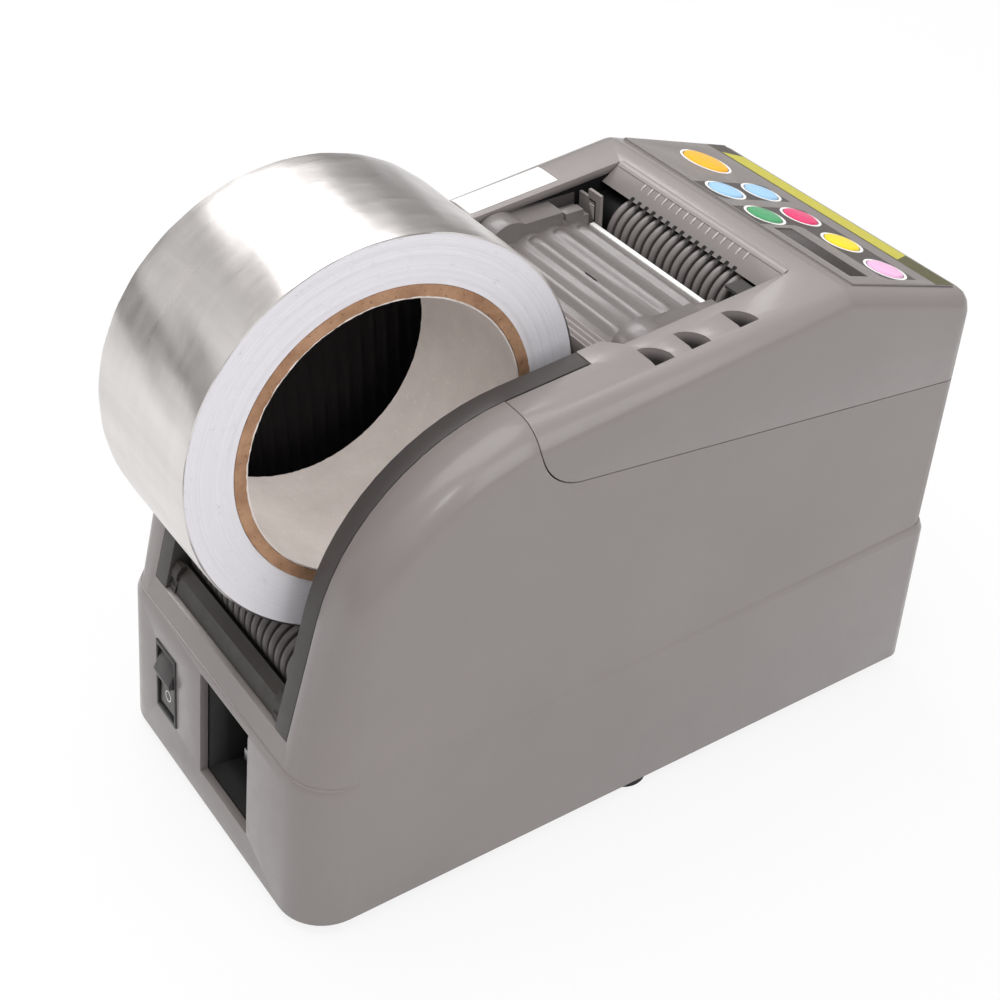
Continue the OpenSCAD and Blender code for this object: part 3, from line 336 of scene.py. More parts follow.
MATERIALS = {
    "case_plastic": moulded("case_plastic", CASE, 0.34, vary=0.035, coat=0.3),
    "frame_plastic": moulded("frame_plastic", FRAME_GREY, 0.45),
    "rubber": rubber("rubber", (0.016, 0.016, 0.017)),
    "steel": metal("steel", (0.56, 0.57, 0.58), 0.32),
    "blade_steel": metal("blade_steel", (0.78, 0.78, 0.78), 0.2),
    "alloy": metal("alloy", (0.40, 0.41, 0.42), 0.42, (300.0, 300.0, 300.0)),
    "brass": metal("brass", (0.70, 0.48, 0.20), 0.3),
    "gear_plastic": moulded("gear_plastic", (0.68, 0.65, 0.56), 0.45, vary=0.03),
    "overlay": printed("overlay", (0.235, 0.214, 0.208), 0.38, 0.03),
    "display": printed("display", (0.034, 0.026, 0.024), 0.32, 0.03, grain=0.0),
    "board": circuit_board("board"),
    "black_plastic": moulded("black_plastic", (0.020, 0.018, 0.018), 0.4, vary=0.12),
    "orange": printed("orange", (0.93, 0.48, 0.025)),
    "blue": printed("blue", (0.36, 0.60, 0.84)),
    "green": printed("green", (0.085, 0.36, 0.16)),
    "red": printed("red", (0.75, 0.06, 0.18)),
    "yellow": printed("yellow", (0.93, 0.70, 0.025)),
    "lilac": printed("lilac", (0.83, 0.48, 0.72)),
    "foil": foil(),
    "cardboard": kraft("cardboard", (0.33, 0.18, 0.105), (0.52, 0.31, 0.19), 0.85),
}
EDGE = wound_edge()
LINER = kraft("core_liner", (0.86, 0.785, 0.745), (0.92, 0.85, 0.81))
WHITE_INK = printed("white_ink", PRINT_WHITE, 0.45, 0.02)
DARK_INK = printed("dark_ink", (0.078, 0.069, 0.065), 0.38, 0.04)
STRIPE_INK = printed("stripe_ink", (0.54, 0.49, 0.05), 0.35, 0.08)
OLIVE_INK = printed("olive_ink", (0.085, 0.078, 0.022), 0.35, 0.08)
LABEL_FILM = printed("label_film", (0.84, 0.83, 0.82), 0.3, 0.015, grain=0.0)
# Black plastic, also the colour of sheets and tiles of painted shade in the feed well and the bridge's slot
BLACK_AND_PAINTED_SHADE = moulded("black_and_painted_shade", (0.008, 0.0075, 0.008), 0.55, vary=0.2, gloss=0.15)
# Lighter copy of the case plastic: painted highlight on the lip of the comb's top edge
LIP_HIGHLIGHT = moulded("lip_highlight", shade(CASE, 1.12), 0.4, vary=0.03, coat=0.15)
# Lighter copy of the case plastic: painted highlight on the comb's ribs and the guard's facet
RIB_HIGHLIGHT = moulded("rib_highlight", shade(CASE, 1.7), 0.4, vary=0.03)
TRAY_DARK = moulded("tray_dark", (0.034, 0.029, 0.026), 0.5, vary=0.08)
ROCKER_GREY = moulded("rocker_grey", (0.085, 0.078, 0.075), 0.4)
NODE_LOOKS = {
    # Painted shade darkens the cover's pockets and well edges, the rollers' grooves and the comb's fingers
    "top_cover": moulded("cover_plastic", CASE, 0.34, vary=0.035, coat=0.3, recess=deck_pocket_shade),
    "press_lever": moulded("lever_plastic", shade(CASE, 0.63), 0.33, vary=0.03, coat=0.3),
    "upper_feed_roller": ringed("ring_plastic", shade(CASE, 0.66), "upper_feed_roller"),
    "rear_support_roller": ringed("rear_rings", shade(CASE, 0.45), "rear_support_roller"),
    "comb_plate": moulded("comb_plastic", shade(CASE, 0.82), 0.42, vary=0.03, recess=comb_finger_shade),
    "bay_tray": TRAY_DARK,
    # Painted highlight: the lever's edge bar is printed white for its shine
    "lever_edge_bar": printed("bar_painted_highlight", (0.88, 0.87, 0.85), 0.25, 0.02),
    "inlet_housing": moulded("inlet_black", (0.010, 0.009, 0.009), 0.5, vary=0.12, gloss=0.25),
    "power_rocker": moulded("rocker_plastic", (0.036, 0.031, 0.030), 0.36, vary=0.1),
}


def slot_of_nodes():
    """CAD node to material slot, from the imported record."""
    return {item["node"]: item["material_slot"] for item in frame["record"]["subparts"]}


def dress(obj, material):
    obj.data.materials.clear()
    obj.data.materials.append(material)


# Width of the rounded edges in mm, with the common one for the nodes that aren't named
BEVEL = {"lower_case": 0.5, "top_cover": 0.5, "left_bay_frame": 0.5, "right_bay_frame": 0.5,
         "bay_tray": 0.35, "press_lever": 0.3, "entry_bridge": 0.2, "comb_plate": 0.15,
         "switch_frame": 0.25, "power_rocker": 0.4, "inlet_housing": 0.25}
COMMON_BEVEL = 0.12
BEVEL_DEGREES = 38
CREASE_DEGREES = 32
WELD_GAP = 0.001 * MM
SAME_POINT = 1e-8


def finish_cad(node, obj):
    """Joins the split edges of a CAD mesh, rounds its sharp ones and shades it smooth."""
    with bpy.context.temp_override(object=obj, active_object=obj, selected_editable_objects=[obj]):
        bpy.ops.mesh.customdata_custom_splitnormals_clear()
    for p in obj.data.polygons:
        p.use_smooth = True
    weld = obj.modifiers.new("join", "WELD")
    weld.merge_threshold = WELD_GAP
    bevel = obj.modifiers.new("edges", "BEVEL")
    bevel.width = BEVEL.get(node, COMMON_BEVEL) * MM
    bevel.segments = 2
    bevel.limit_method = "ANGLE"
    bevel.angle_limit = math.radians(BEVEL_DEGREES)
    bevel.use_clamp_overlap = True
    bevel.miter_outer = "MITER_ARC"
    split = obj.modifiers.new("creases", "EDGE_SPLIT")
    split.split_angle = math.radians(CREASE_DEGREES)
    split.use_edge_sharp = False


for node_name, slot_name in slot_of_nodes().items():
    dress(NODES[node_name], NODE_LOOKS.get(node_name, MATERIALS[slot_name]))
    finish_cad(node_name, NODES[node_name])


# Piece helpers


def piece(name, verts, faces, body, slot_name, material, origin=None, smooth=True):
    """A mesh object, given in the part's frame, that rides on a body."""
    mesh = bpy.data.meshes.new(name)
    shift = Vector(origin) if origin else Vector()
    mesh.from_pydata([Vector(v) - shift for v in verts], [], faces)
    bm = bmesh.new()
    bm.from_mesh(mesh)
    bmesh.ops.remove_doubles(bm, verts=bm.verts, dist=SAME_POINT)
    bmesh.ops.recalc_face_normals(bm, faces=bm.faces)
    bm.to_mesh(mesh)
    bm.free()
    for p in mesh.polygons:
        p.use_smooth = smooth
    obj = bpy.data.objects.new(name, mesh)
    bpy.context.scene.collection.objects.link(obj)
    obj.location = shift
    mesh.materials.append(material)
    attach(obj, body)
    return obj


def loops_of(count, size):
    """Point numbers of several loops that follow each other."""
    return [range(k * size, (k + 1) * size) for k in range(count)]


def walls(loops, closed=False):
    """Faces between neighbouring loops, and between the last and the first if closed."""
    faces = []
    for one, two in zip(loops, list(loops[1:]) + list(loops[:1] if closed else [])):
        n = len(one)
        faces += [[one[i], one[(i + 1) % n], two[(i + 1) % n], two[i]] for i in range(n)]
    return faces


def prism(outline, at, low, high):
    """Verts and faces of a flat plate: outline points (u, v) placed by at(u, v, w)."""
    verts = [at(u, v, w) for w in (low, high) for u, v in outline]
    ends = loops_of(2, len(outline))
    return verts, [list(reversed(ends[0])), list(ends[1])] + walls(ends)


def band_prism(inner, outer, at, low, high):
    """Verts and faces of a flat ring between two outlines with the same count of points."""
    rounds = ((inner, low), (outer, low), (outer, high), (inner, high))
    verts = [at(u, v, w) for loop, w in rounds for u, v in loop]
    return verts, walls(loops_of(4, len(inner)), closed=True)


def slab(low, high):
    """Verts and faces of a sheet between two grids of points, each a list of rows."""
    rows, cols = len(low), len(low[0])
    size = rows * cols
    faces = []
    for r in range(rows - 1):
        for c in range(cols - 1):
            k = r * cols + c
            quad = [k, k + 1, k + cols + 1, k + cols]
            faces += [quad, [size + i for i in reversed(quad)]]
    rim = [(0, c) for c in range(cols - 1)] + [(r, cols - 1) for r in range(rows - 1)]
    rim += [(rows - 1, c) for c in range(cols - 1, 0, -1)] + [(r, 0) for r in range(rows - 1, 0, -1)]
    rim = [r * cols + c for r, c in rim]
    faces += walls([rim, [size + i for i in rim]])
    return [p for grid in (low, high) for row in grid for p in row], faces


def steps(a, b, n):
    return [a + (b - a) * i / n for i in range(n + 1)]


def circle(n):
    """Angles of n even steps round a circle."""
    return steps(0.0, 2 * math.pi, n)[:-1]


def oval(cu, cv, a, b, n=48):
    """Outline of an oval about a middle."""
    return [(cu + a * math.cos(t), cv + b * math.sin(t)) for t in circle(n)]


def rounded(u0, u1, v0, v1, r, n=6):
    """Outline of a rectangle with round corners."""
    out = []
    near, far, low, high = u0 + r, u1 - r, v0 + r, v1 - r
    for cu, cv, a0 in ((far, high, 0), (near, high, 90), (near, low, 180), (far, low, 270)):
        for i in range(n + 1):
            a = math.radians(a0 + 90 * i / n)
            out.append((cu + r * math.cos(a), cv + r * math.sin(a)))
    return out


def creased(obj, degrees=40):
    """Keeps the edges sharper than an angle crisp."""
    split = obj.modifiers.new("creases", "EDGE_SPLIT")
    split.split_angle = math.radians(degrees)
    return obj


def merged(parts):
    """One list of verts and faces made of several."""
    verts, faces = [], []
    for more_verts, more_faces in parts:
        faces += [[i + len(verts) for i in face] for face in more_faces]
        verts += more_verts
    return verts, faces


def in_mm(points):
    return [(a * MM, b * MM) for a, b in points]


def along_x(u, v, w):
    return Vector((w, u, v))


def along_y(u, v, w):
    return Vector((u, w, v))


def along_z(u, v, w):
    return Vector((u, v, w))


def bar(name, outline, x0, x1, slot_name, material):
    """A bar on the case with one (y, z) outline that runs between two places along X."""
    return creased(piece(name, *prism(outline, along_x, x0, x1), "case", slot_name, material))


def turned(name, profile, middle, body, slot_name, material, turns=56):
    """A ring about an axis along X; its profile is a closed loop of (x, radius)."""
    verts = []
    for a in circle(turns):
        verts += [(x, middle.y + r * math.cos(a), middle.z + r * math.sin(a)) for x, r in profile]
    faces = walls(loops_of(turns, len(profile)), closed=True)
    return creased(piece(name, verts, faces, body, slot_name, material))


# Least cosine between a face and the way it looks, and between two faces in one plane
TOWARD = 0.96
LEVEL = 0.9999


def flat_face(node, toward):
    """Normal and corner points of a node's largest flat face that looks toward a direction."""
    mesh = NODES[node].data
    best = max((p for p in mesh.polygons if p.normal.dot(toward) > TOWARD), key=lambda p: p.area)
    normal = best.normal.copy()
    level = [p for p in mesh.polygons
             if p.normal.dot(normal) > LEVEL and abs((p.center - best.center).dot(normal)) < WELD_GAP]
    return normal, [mesh.vertices[i].co for p in level for i in p.vertices]


def surface(node):
    """Tree of a node's faces, to drop points on."""
    obj = NODES[node]
    points = [obj.matrix_world @ v.co for v in obj.data.vertices]
    return BVHTree.FromPolygons(points, [list(p.vertices) for p in obj.data.polygons])


def dropped(tree, x, y, lift):
    """Point over the first face met on the way down, lifted a little."""
    return tree.ray_cast(Vector((x, y, cad_box[1][2] + WALL)), Vector((0, 0, -1)))[0] + Vector((0, 0, lift))


# Tape roll: foil winding and cardboard core, both inside the CAD solids

roll_mid, roll_half = centre_of("tape_winding")
core_mid, core_half = centre_of("tape_core")
ROLL_R = roll_half.z
TAPE_HW = roll_half.x
CORE_R = core_half.z
CORE_HW = core_half.x
LINER_T = 0.5 * MM
FOIL_LIP = 0.9 * MM
CORE_T = 3.8 * MM
ROLL_TURNS = 288
CORE_TURNS = 240
WEB_STEPS = 28
SIDE_RINGS = 26
SIDEWAYS = 0.6

# Foil, in mm: dents made of several waves, fine ripples, and edges that fall and are ragged
WEB_WAVES = (2, 3, 5, 7, 11, 17, 23)
WEB_PHASE = 6.28
WEB_SHARE = (0.2, 1.0)
WEB_DENT, WEB_TWIST = 0.16, 0.35
LEAST_DENT = 0.02
RIPPLE, RIPPLE_WAVES, RIPPLE_TWIST = 0.05, 31, 4
EDGE_FALL, EDGE_POWER = 0.22, 14
RAGGED, RAGGED_WAVES, RAGGED_RANDOM = 0.05, 13, 0.10

# Stepped side of the winding and torn edges of the core
CORE_GAP = 0.05 * MM
FIRST_RING_IN = 0.25 * MM
SIDE_INSET = 0.1 * MM
SIDE_STEP = (0.02, 0.2)
SIDE_WAVE, SIDE_WAVES = 0.04 * MM, 3
TORN_WAVE, TORN_WAVES = 0.4, 17
TORN_INNER, TORN_OUTER = 0.5, 0.3
LINING_INSET = 0.4 * MM
BOARD_FUZZ, LINER_FUZZ = 0.25, 0.12


def about_x(x, r, a):
    return Vector((x, r * math.sin(a), r * math.cos(a)))


def waves(a, seeds):
    return sum(k * math.sin(n * a + p) for n, p, k in seeds)


def web_loop(t, web):
    """Loop round the foil at a place across it, from -1 to 1, ragged at both edges."""
    loop = []
    for a in circle(ROLL_TURNS):
        dent = WEB_DENT + WEB_DENT * waves(a + WEB_TWIST * t, web)
        dent += RIPPLE * math.sin(RIPPLE_WAVES * a + RIPPLE_TWIST * t)
        fall = EDGE_FALL * abs(t) ** EDGE_POWER
        ragged = RAGGED + RAGGED * math.sin(RAGGED_WAVES * a) + rng.uniform(0, RAGGED_RANDOM)
        edge = TAPE_HW - MM * ragged * (abs(t) == 1)
        loop.append(about_x(t * edge, ROLL_R - MM * max(LEAST_DENT, dent + fall), a))
    return loop


def side_loop(side, m):
    """Loop of the stepped side, counted from the foil to the core."""
    r = ROLL_R - (ROLL_R - CORE_R - CORE_GAP) * m / SIDE_RINGS - FIRST_RING_IN * (m == 1)
    half = TAPE_HW - SIDE_INSET - MM * rng.uniform(*SIDE_STEP)
    return [about_x(side * (half - SIDE_WAVE * math.sin(SIDE_WAVES * a + m)), r, a)
            for a in circle(ROLL_TURNS)]


def winding():
    """Foil winding: a slightly uneven web, ragged outer edges and a stepped pale side."""
    web = [(n, rng.uniform(0, WEB_PHASE), rng.uniform(*WEB_SHARE) / n) for n in WEB_WAVES]
    loops = [web_loop(t, web) for t in steps(-1, 1, WEB_STEPS)]
    for side in (-1, 1):
        loops += [side_loop(side, m) for m in range(1, SIDE_RINGS + 1)]
    numbers = loops_of(len(loops), ROLL_TURNS)
    left, right = WEB_STEPS + 1, WEB_STEPS + 1 + SIDE_RINGS
    faces = walls(numbers[:left]) + walls(numbers[:1] + numbers[left:right])
    faces += walls(numbers[left - 1:left] + numbers[right:])
    verts = [p + roll_mid for loop in loops for p in loop]
    obj = piece("foil_winding", verts, faces, "tape_roll", "foil", MATERIALS["foil"], origin=roll_mid)
    obj.data.materials.append(EDGE)
    for p in obj.data.polygons:
        inside = math.hypot(p.center.y, p.center.z) < ROLL_R - FOIL_LIP
        p.material_index = 1 if abs(p.normal.x) > SIDEWAYS and inside else 0
    creased(obj)
    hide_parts("tape_winding")


def tube(name, r_in, r_out, half, material, fuzz):
    """A tube about the roll's axis with a slightly torn edge."""
    verts = []
    for r, x in ((r_in, -half), (r_out, -half), (r_out, half), (r_in, half)):
        for a in circle(CORE_TURNS):
            pull = MM * fuzz * (rng.random() + TORN_WAVE * math.sin(TORN_WAVES * a) ** 2)
            edge = r + (pull * TORN_INNER if r == r_in else -pull * TORN_OUTER)
            verts.append(about_x(x - math.copysign(pull, x), edge, a) + core_mid)
    faces = walls(loops_of(4, CORE_TURNS), closed=True)
    return creased(piece(name, verts, faces, "tape_roll", "cardboard", material, origin=core_mid))


winding()
BORE_R = CORE_R - CORE_T
board_ring = tube("core_board", BORE_R + LINER_T, CORE_R, CORE_HW, MATERIALS["cardboard"], BOARD_FUZZ)
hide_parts("tape_core")
tube("core_lining", BORE_R, BORE_R + LINER_T, CORE_HW - LINING_INSET, LINER, LINER_FUZZ)

# Key panel prints, in the overlay's own plane

overlay = NODES["panel_overlay"].data
UPWARD = 0.5
upper_faces = [p for p in overlay.polygons if p.normal.z > UPWARD]
top_face = max(upper_faces, key=lambda p: p.area)
PANEL_N = top_face.normal.copy()
PANEL_UP = Vector((0.0, PANEL_N.z, -PANEL_N.y))
PANEL_O = max((overlay.vertices[i].co for p in upper_faces for i in p.vertices), key=lambda c: c.y).copy()
PANEL_O.x = 0.0
PRINT_T = 0.03 * MM


def on_panel(u, v, w):
    """Panel point: u across, v down the slope from the overlay's rear edge, w out of it."""
    return PANEL_O + Vector((u, 0, 0)) - PANEL_UP * v + PANEL_N * w


def panel_place(node):
    """Place of a node's middle on the panel."""
    mid = centre_of(node)[0] - PANEL_O
    return mid.x, -mid.dot(PANEL_UP)


overlay_half = centre_of("panel_overlay")[1]
PANEL_L = overlay_half.y * 2 / PANEL_UP.y
PANEL_HW = overlay_half.x


def ink(name, outline, material):
    """A thin print on the overlay."""
    piece(name, *prism(outline, on_panel, HAIR, PRINT_T), "case", "overlay", material, smooth=False)


KEY_NODES = ("key_large", "key_blue_rear", "key_blue_front", "key_green", "key_red", "key_yellow",
             "key_lilac")
KEY_GAP = 0.3 * MM
KEY_HALF_H = 1.4 * MM
RIM = 0.85 * MM
RIM_T = 3 * PRINT_T
PLACES = {key: panel_place(key) for key in KEY_NODES}
for key, (u, v) in PLACES.items():
    half = centre_of(key)[1]
    a = half.x + KEY_GAP
    b = (half.y - abs(PANEL_N.y) * KEY_HALF_H) / PANEL_UP.y + KEY_GAP
    ring = band_prism(oval(u, v, a, b), oval(u, v, a + RIM, b + RIM), on_panel, HAIR, RIM_T)
    piece(key + "_outline", *ring, "case", "overlay", WHITE_INK, smooth=False)

# Dark bands behind the keys, with cut corners
BAND_HW = 6.4 * MM
BAND_REAR = 0.4 * MM
CORNER = 2 * MM
blue_u, blue_v = PLACES["key_blue_front"]
red_u, red_v = PLACES["key_red"]
blue_near, blue_far = blue_u - BAND_HW, blue_u + BAND_HW
red_near, red_far = red_u - BAND_HW, red_u + BAND_HW
row_near = PLACES["key_lilac"][0] - BAND_HW
row_rear = red_v - BAND_HW
band_front = blue_v + BAND_HW
ink("blue_band", [(blue_near, band_front), (blue_near, BAND_REAR + CORNER), (blue_near + CORNER, BAND_REAR),
                  (blue_far, BAND_REAR), (blue_far, band_front - CORNER), (blue_far - CORNER, band_front)],
    DARK_INK)
ink("long_band", [(row_near, band_front), (row_near, row_rear + CORNER), (row_near + CORNER, row_rear),
                  (red_near - CORNER, row_rear), (red_near, row_rear - CORNER), (red_near, BAND_REAR),
                  (red_far, BAND_REAR), (red_far, band_front - CORNER), (red_far - CORNER, band_front)],
    DARK_INK)

# Stripe along the panel's front edge
STRIPE_V = 35.5 * MM
STRIPE_NEAR, STRIPE_FAR = -35 * MM, 45 * MM
STRIPE_SLANT = 3 * MM
STRIPE_LINE = 0.75 * MM
PANEL_INSET = 0.15 * MM
stripe_end = PANEL_L - PANEL_INSET
edge_u = PANEL_HW - PANEL_INSET
near_side = [(STRIPE_NEAR, STRIPE_V), (STRIPE_NEAR + STRIPE_SLANT, stripe_end)]
far_side = [(STRIPE_FAR - STRIPE_SLANT, stripe_end), (STRIPE_FAR, STRIPE_V)]
ink("yellow_stripe", near_side + far_side, STRIPE_INK)
ink("stripe_near_end", [(-edge_u, STRIPE_V), (-edge_u, stripe_end)] + near_side[::-1], OLIVE_INK)
ink("stripe_far_end", far_side[::-1] + [(edge_u, stripe_end), (edge_u, STRIPE_V)], DARK_INK)
ink("stripe_line", [(-edge_u, STRIPE_V - STRIPE_LINE), (-edge_u, STRIPE_V), (edge_u, STRIPE_V),
                    (edge_u, STRIPE_V - STRIPE_LINE)], OLIVE_INK)

# Deck label, left blank, laid on the cover

LABEL_X = (41 * MM, 51.5 * MM)
LABEL_Y = (-39 * MM, -8.5 * MM)
LABEL_LIFTS = (0.01 * MM, 0.15 * MM)
cover = surface("top_cover")
label_grids = [[[dropped(cover, x, y, lift) for x in steps(*LABEL_X, 8)] for y in steps(*LABEL_Y, 4)]
               for lift in LABEL_LIFTS]
piece("deck_label", *slab(*label_grids), "case", "overlay", LABEL_FILM, smooth=False)

# Ribbed black linings on the inner sides of the roll bay, under the hump's arch

BAY_HW = -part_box("left_bay_frame")[1].x
HUMP_Y, HUMP_Z, HUMP_R = 25.85 * MM, 76.6 * MM, 61.0 * MM
LINING_Y = (8 * MM, 84 * MM)
LINING_LOW = 59.5 * MM
LINING_GAP = 0.02 * MM
LINING_CREASE = 50
RIB_PITCH = 4.2 * MM
RIB_STEPS = 8
RIB_BASE, RIB_RISE, RIB_POWER = 0.2, 0.5, 0.7


def bay_lining(name, side):
    """Black wall with upright ribs."""
    n = RIB_STEPS * round((LINING_Y[1] - LINING_Y[0]) / RIB_PITCH)
    outer = side * (BAY_HW - LINING_GAP)
    verts = []
    for i, y in enumerate(steps(*LINING_Y, n)):
        top = HUMP_Z + math.sqrt(max(HUMP_R ** 2 - (y - HUMP_Y) ** 2, 0.0))
        crest = max(0.0, math.cos(2 * math.pi * i / RIB_STEPS)) ** RIB_POWER
        depth = (RIB_BASE + RIB_RISE * crest) * MM
        inner = side * (BAY_HW - depth)
        verts += [(inner, y, LINING_LOW), (inner, y, top), (outer, y, top), (outer, y, LINING_LOW)]
    loops = loops_of(n + 1, 4)
    faces = walls(loops) + [list(loops[0]), list(reversed(loops[-1]))]
    creased(piece(name, verts, faces, "case", "frame_plastic", BLACK_AND_PAINTED_SHADE), LINING_CREASE)


SIDES = ((-1, "left"), (1, "right"))
for side, word in SIDES:
    bay_lining("bay_lining_" + word, side)

# Feed well: black sleeves and sheets of painted shade at the roller's ends, the comb's notches and ribs,
# the lever's ridges

feed_mid, feed_half = centre_of("upper_feed_roller")
PLATE_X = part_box("right_feed_plate")[0].x
RINGS = 16
RING_PITCH = 2 * feed_half.x / RINGS
GROOVES = [-feed_half.x + i * RING_PITCH for i in range(1, RINGS)]
SLEEVE = ((27.3, 3.2), (27.3, 7.4), (28.6, 7.4), (28.9, 6.9), (37.2, 6.9), (37.5, 7.4), (38.4, 7.4),
          (38.4, 3.2))
PLATE_TOP = 139.3 * MM
SHAFT_TOP = 141.3 * MM
DECK_GAP = 0.1 * MM
SHADE_OFF = (0.35 * MM, 0.1 * MM)
SKIN_OFF = (0.3 * MM, 0.02 * MM)
SKIN_Y = (-65 * MM, -48.7 * MM)
SKIN_Z = (119 * MM, 140.9 * MM)
SHAFT_HOLE_R = 6.3 * MM
NO_SLOPE = 1e-6


def under_deck(y):
    return DECK_Z - DECK_SLOPE * y - WALL - DECK_GAP


def shade_outline():
    """Black strip of painted shade between the top of a feed plate and the underside of the deck."""
    front, mid_front, mid_rear, rear = -64 * MM, -47 * MM, -45 * MM, -4 * MM
    return [(front, under_deck(front)), (front, SHAFT_TOP), (mid_front, SHAFT_TOP), (mid_rear, PLATE_TOP),
            (rear, PLATE_TOP), (rear, under_deck(rear))]


def reach(bounds, start, slope):
    """How far a ray from start goes along one axis before it meets one of two bounds."""
    if abs(slope) < NO_SLOPE:
        return 1.0
    return ((bounds[1] if slope > 0 else bounds[0]) - start) / slope


def holed_plate(x0, x1, n=64):
    """Black skin of painted shade on a feed plate beside the roller, with a round hole for the shaft."""
    inner, outer = [], []
    for a in circle(n):
        c, s = math.cos(a), math.sin(a)
        r = min(reach(SKIN_Y, feed_mid.y, c), reach(SKIN_Z, feed_mid.z, s))
        inner.append((feed_mid.y + SHAFT_HOLE_R * c, feed_mid.z + SHAFT_HOLE_R * s))
        outer.append((feed_mid.y + r * c, feed_mid.z + r * s))
    return band_prism(inner, outer, along_x, x0, x1)


for side, word in SIDES:
    turned("roller_sleeve_" + word, [(side * x * MM, r * MM) for x, r in SLEEVE], feed_mid, "upper_feed",
           "black_plastic", BLACK_AND_PAINTED_SHADE)
    # Sheets of painted shade: a strip above each feed plate and a skin on it
    ends = [side * (PLATE_X - off) for off in SHADE_OFF]
    bar("well_shade_" + word, shade_outline(), *ends, "black_plastic", BLACK_AND_PAINTED_SHADE)
    skin = holed_plate(*(side * (PLATE_X - off) for off in SKIN_OFF))
    piece("plate_shade_skin_" + word, *skin, "case", "black_plastic", BLACK_AND_PAINTED_SHADE, smooth=False)

# Guard at the roller's far end and shelf at its near end, as outlines (x, z) in mm
GUARD = ((27.8, 134.0), (27.8, 146.6), (33.8, 146.6), (33.8, 144.0), (38.35, 144.0), (38.35, 134.0))
GUARD_LINES = (((30.0, 143.4), (33.2, 143.4), (33.2, 143.9), (30.0, 143.9)),
               ((30.0, 137.5), (30.5, 137.5), (30.5, 143.4), (30.0, 143.4)))
GUARD_FACET = ((30.6, 138.0), (30.6, 142.4), (33.0, 142.4))
GUARD_Y = (-46.1 * MM, -45.1 * MM)
LINE_T = 0.05 * MM
FACET_T = 0.3 * MM
SHELF = ((-28.0, 143.4), (-28.0, 144.3), (-37.4, 144.3), (-37.4, 147.6), (-38.35, 147.6), (-38.35, 143.4))
SHELF_Y = (-52.8 * MM, -46.9 * MM)
guard_face = GUARD_Y[1] + GROUND_GAP

guard = prism(in_mm(GUARD), along_y, *GUARD_Y)
creased(piece("roller_guard", *guard, "case", "case_plastic", MATERIALS["case_plastic"]))
guard_lines = [prism(in_mm(line), along_y, guard_face, GUARD_Y[1] + LINE_T) for line in GUARD_LINES]
piece("guard_lines", *merged(guard_lines), "case", "black_plastic", BLACK_AND_PAINTED_SHADE, smooth=False)
# Painted highlight: the guard's facet is a lighter copy of the case plastic
facet = prism(in_mm(GUARD_FACET), along_y, guard_face, GUARD_Y[1] + FACET_T)
piece("guard_facet", *facet, "case", "case_plastic", RIB_HIGHLIGHT, smooth=False)
shelf = prism(in_mm(SHELF), along_y, *SHELF_Y)
creased(piece("roller_shelf", *shelf, "case", "case_plastic", NODE_LOOKS["comb_plate"]))

# Comb: ribs as outlines (down the slope, out of it) in mm, notches and the lip of its top edge
COMB_FACING = Vector((0.0, 0.563, 0.826))
COMB_RIB = ((0.9, 0.0), (1.2, 0.2), (2.9, 0.2), (3.5, 0.0))
COMB_RIB_HW = 0.3 * MM
NOTCH_HW = 0.7 * MM
NOTCH_L = (1.3 * MM, 0.1 * MM)
NOTCH_CORNER = 0.2 * MM
NOTCH_T = 0.06 * MM
COMB_LIP = ((-1.5, 0.13), (-1.1, 0.24), (-0.6, 0.27), (-0.1, 0.16), (0.4, -0.22), (0.9, -0.62),
            (0.8, -0.95), (-0.2, -0.5), (-1.5, 0.05))
COMB_LIP_HW = 38 * MM

COMB_N, comb_points = flat_face("comb_plate", COMB_FACING)
COMB_TOP = max(comb_points, key=lambda c: c.z)
COMB_LOW = min(comb_points, key=lambda c: c.z)
COMB_L = math.hypot(COMB_LOW.y - COMB_TOP.y, COMB_LOW.z - COMB_TOP.z)
COMB_DOWN = Vector((0.0, COMB_LOW.y - COMB_TOP.y, COMB_LOW.z - COMB_TOP.z)) / COMB_L


def on_comb(u, v, w):
    """Comb point: u across, v down its slope from the top edge, w out of it."""
    return Vector((u, COMB_TOP.y, COMB_TOP.z)) + COMB_DOWN * v + COMB_N * w


def comb_rib(x):
    return prism(in_mm(COMB_RIB), lambda v, w, u: on_comb(x + u, v, w), -COMB_RIB_HW, COMB_RIB_HW)


def comb_notch(x):
    start, end = (COMB_L - off for off in NOTCH_L)
    tile = rounded(x - NOTCH_HW, x + NOTCH_HW, start, end, NOTCH_CORNER, 3)
    return prism(tile, on_comb, GROUND_GAP, NOTCH_T)


# Painted highlight: the ribs are a lighter copy of the case plastic
ribs = merged([comb_rib(x) for x in GROOVES])
creased(piece("comb_ribs", *ribs, "case", "case_plastic", RIB_HIGHLIGHT))
# Painted shade: black tiles at the comb's notches
notches = merged([comb_notch(x) for x in GROOVES])
piece("comb_notch_shades", *notches, "case", "black_plastic", BLACK_AND_PAINTED_SHADE, smooth=False)
comb_deck = DECK_Z - DECK_SLOPE * COMB_TOP.y
comb_lip = [(COMB_TOP.y + dy, comb_deck + dz) for dy, dz in in_mm(COMB_LIP)]
# Painted highlight: the lip is a lighter copy of the case plastic
bar("comb_edge", comb_lip, -COMB_LIP_HW, COMB_LIP_HW, "case_plastic", LIP_HIGHLIGHT)

# Press lever: ridges that fade into its plate, and a slit of painted shade on the second ridge
lever = surface("press_lever")
RIDGES = 4
RIDGE_HW = 28.5 * MM
RIDGE_LIFT = 0.75 * MM
RIDGE_SHARE = 0.36
RIDGE_FADE = 6
RIDGE_SINK = 0.06 * MM
RIDGE_ROOT = -0.4 * MM
LEVER_Y = (-9 * MM, -42.8 * MM)
SLIT = ((-3.5, -21.8), (-3.0, -21.55), (1.9, -21.55), (2.4, -21.8), (1.9, -22.05), (-3.0, -22.05))
SLIT_MID = (-0.6 * MM, -21.8 * MM)
SLIT_SINK = 0.05 * MM
SLIT_T = 0.06 * MM


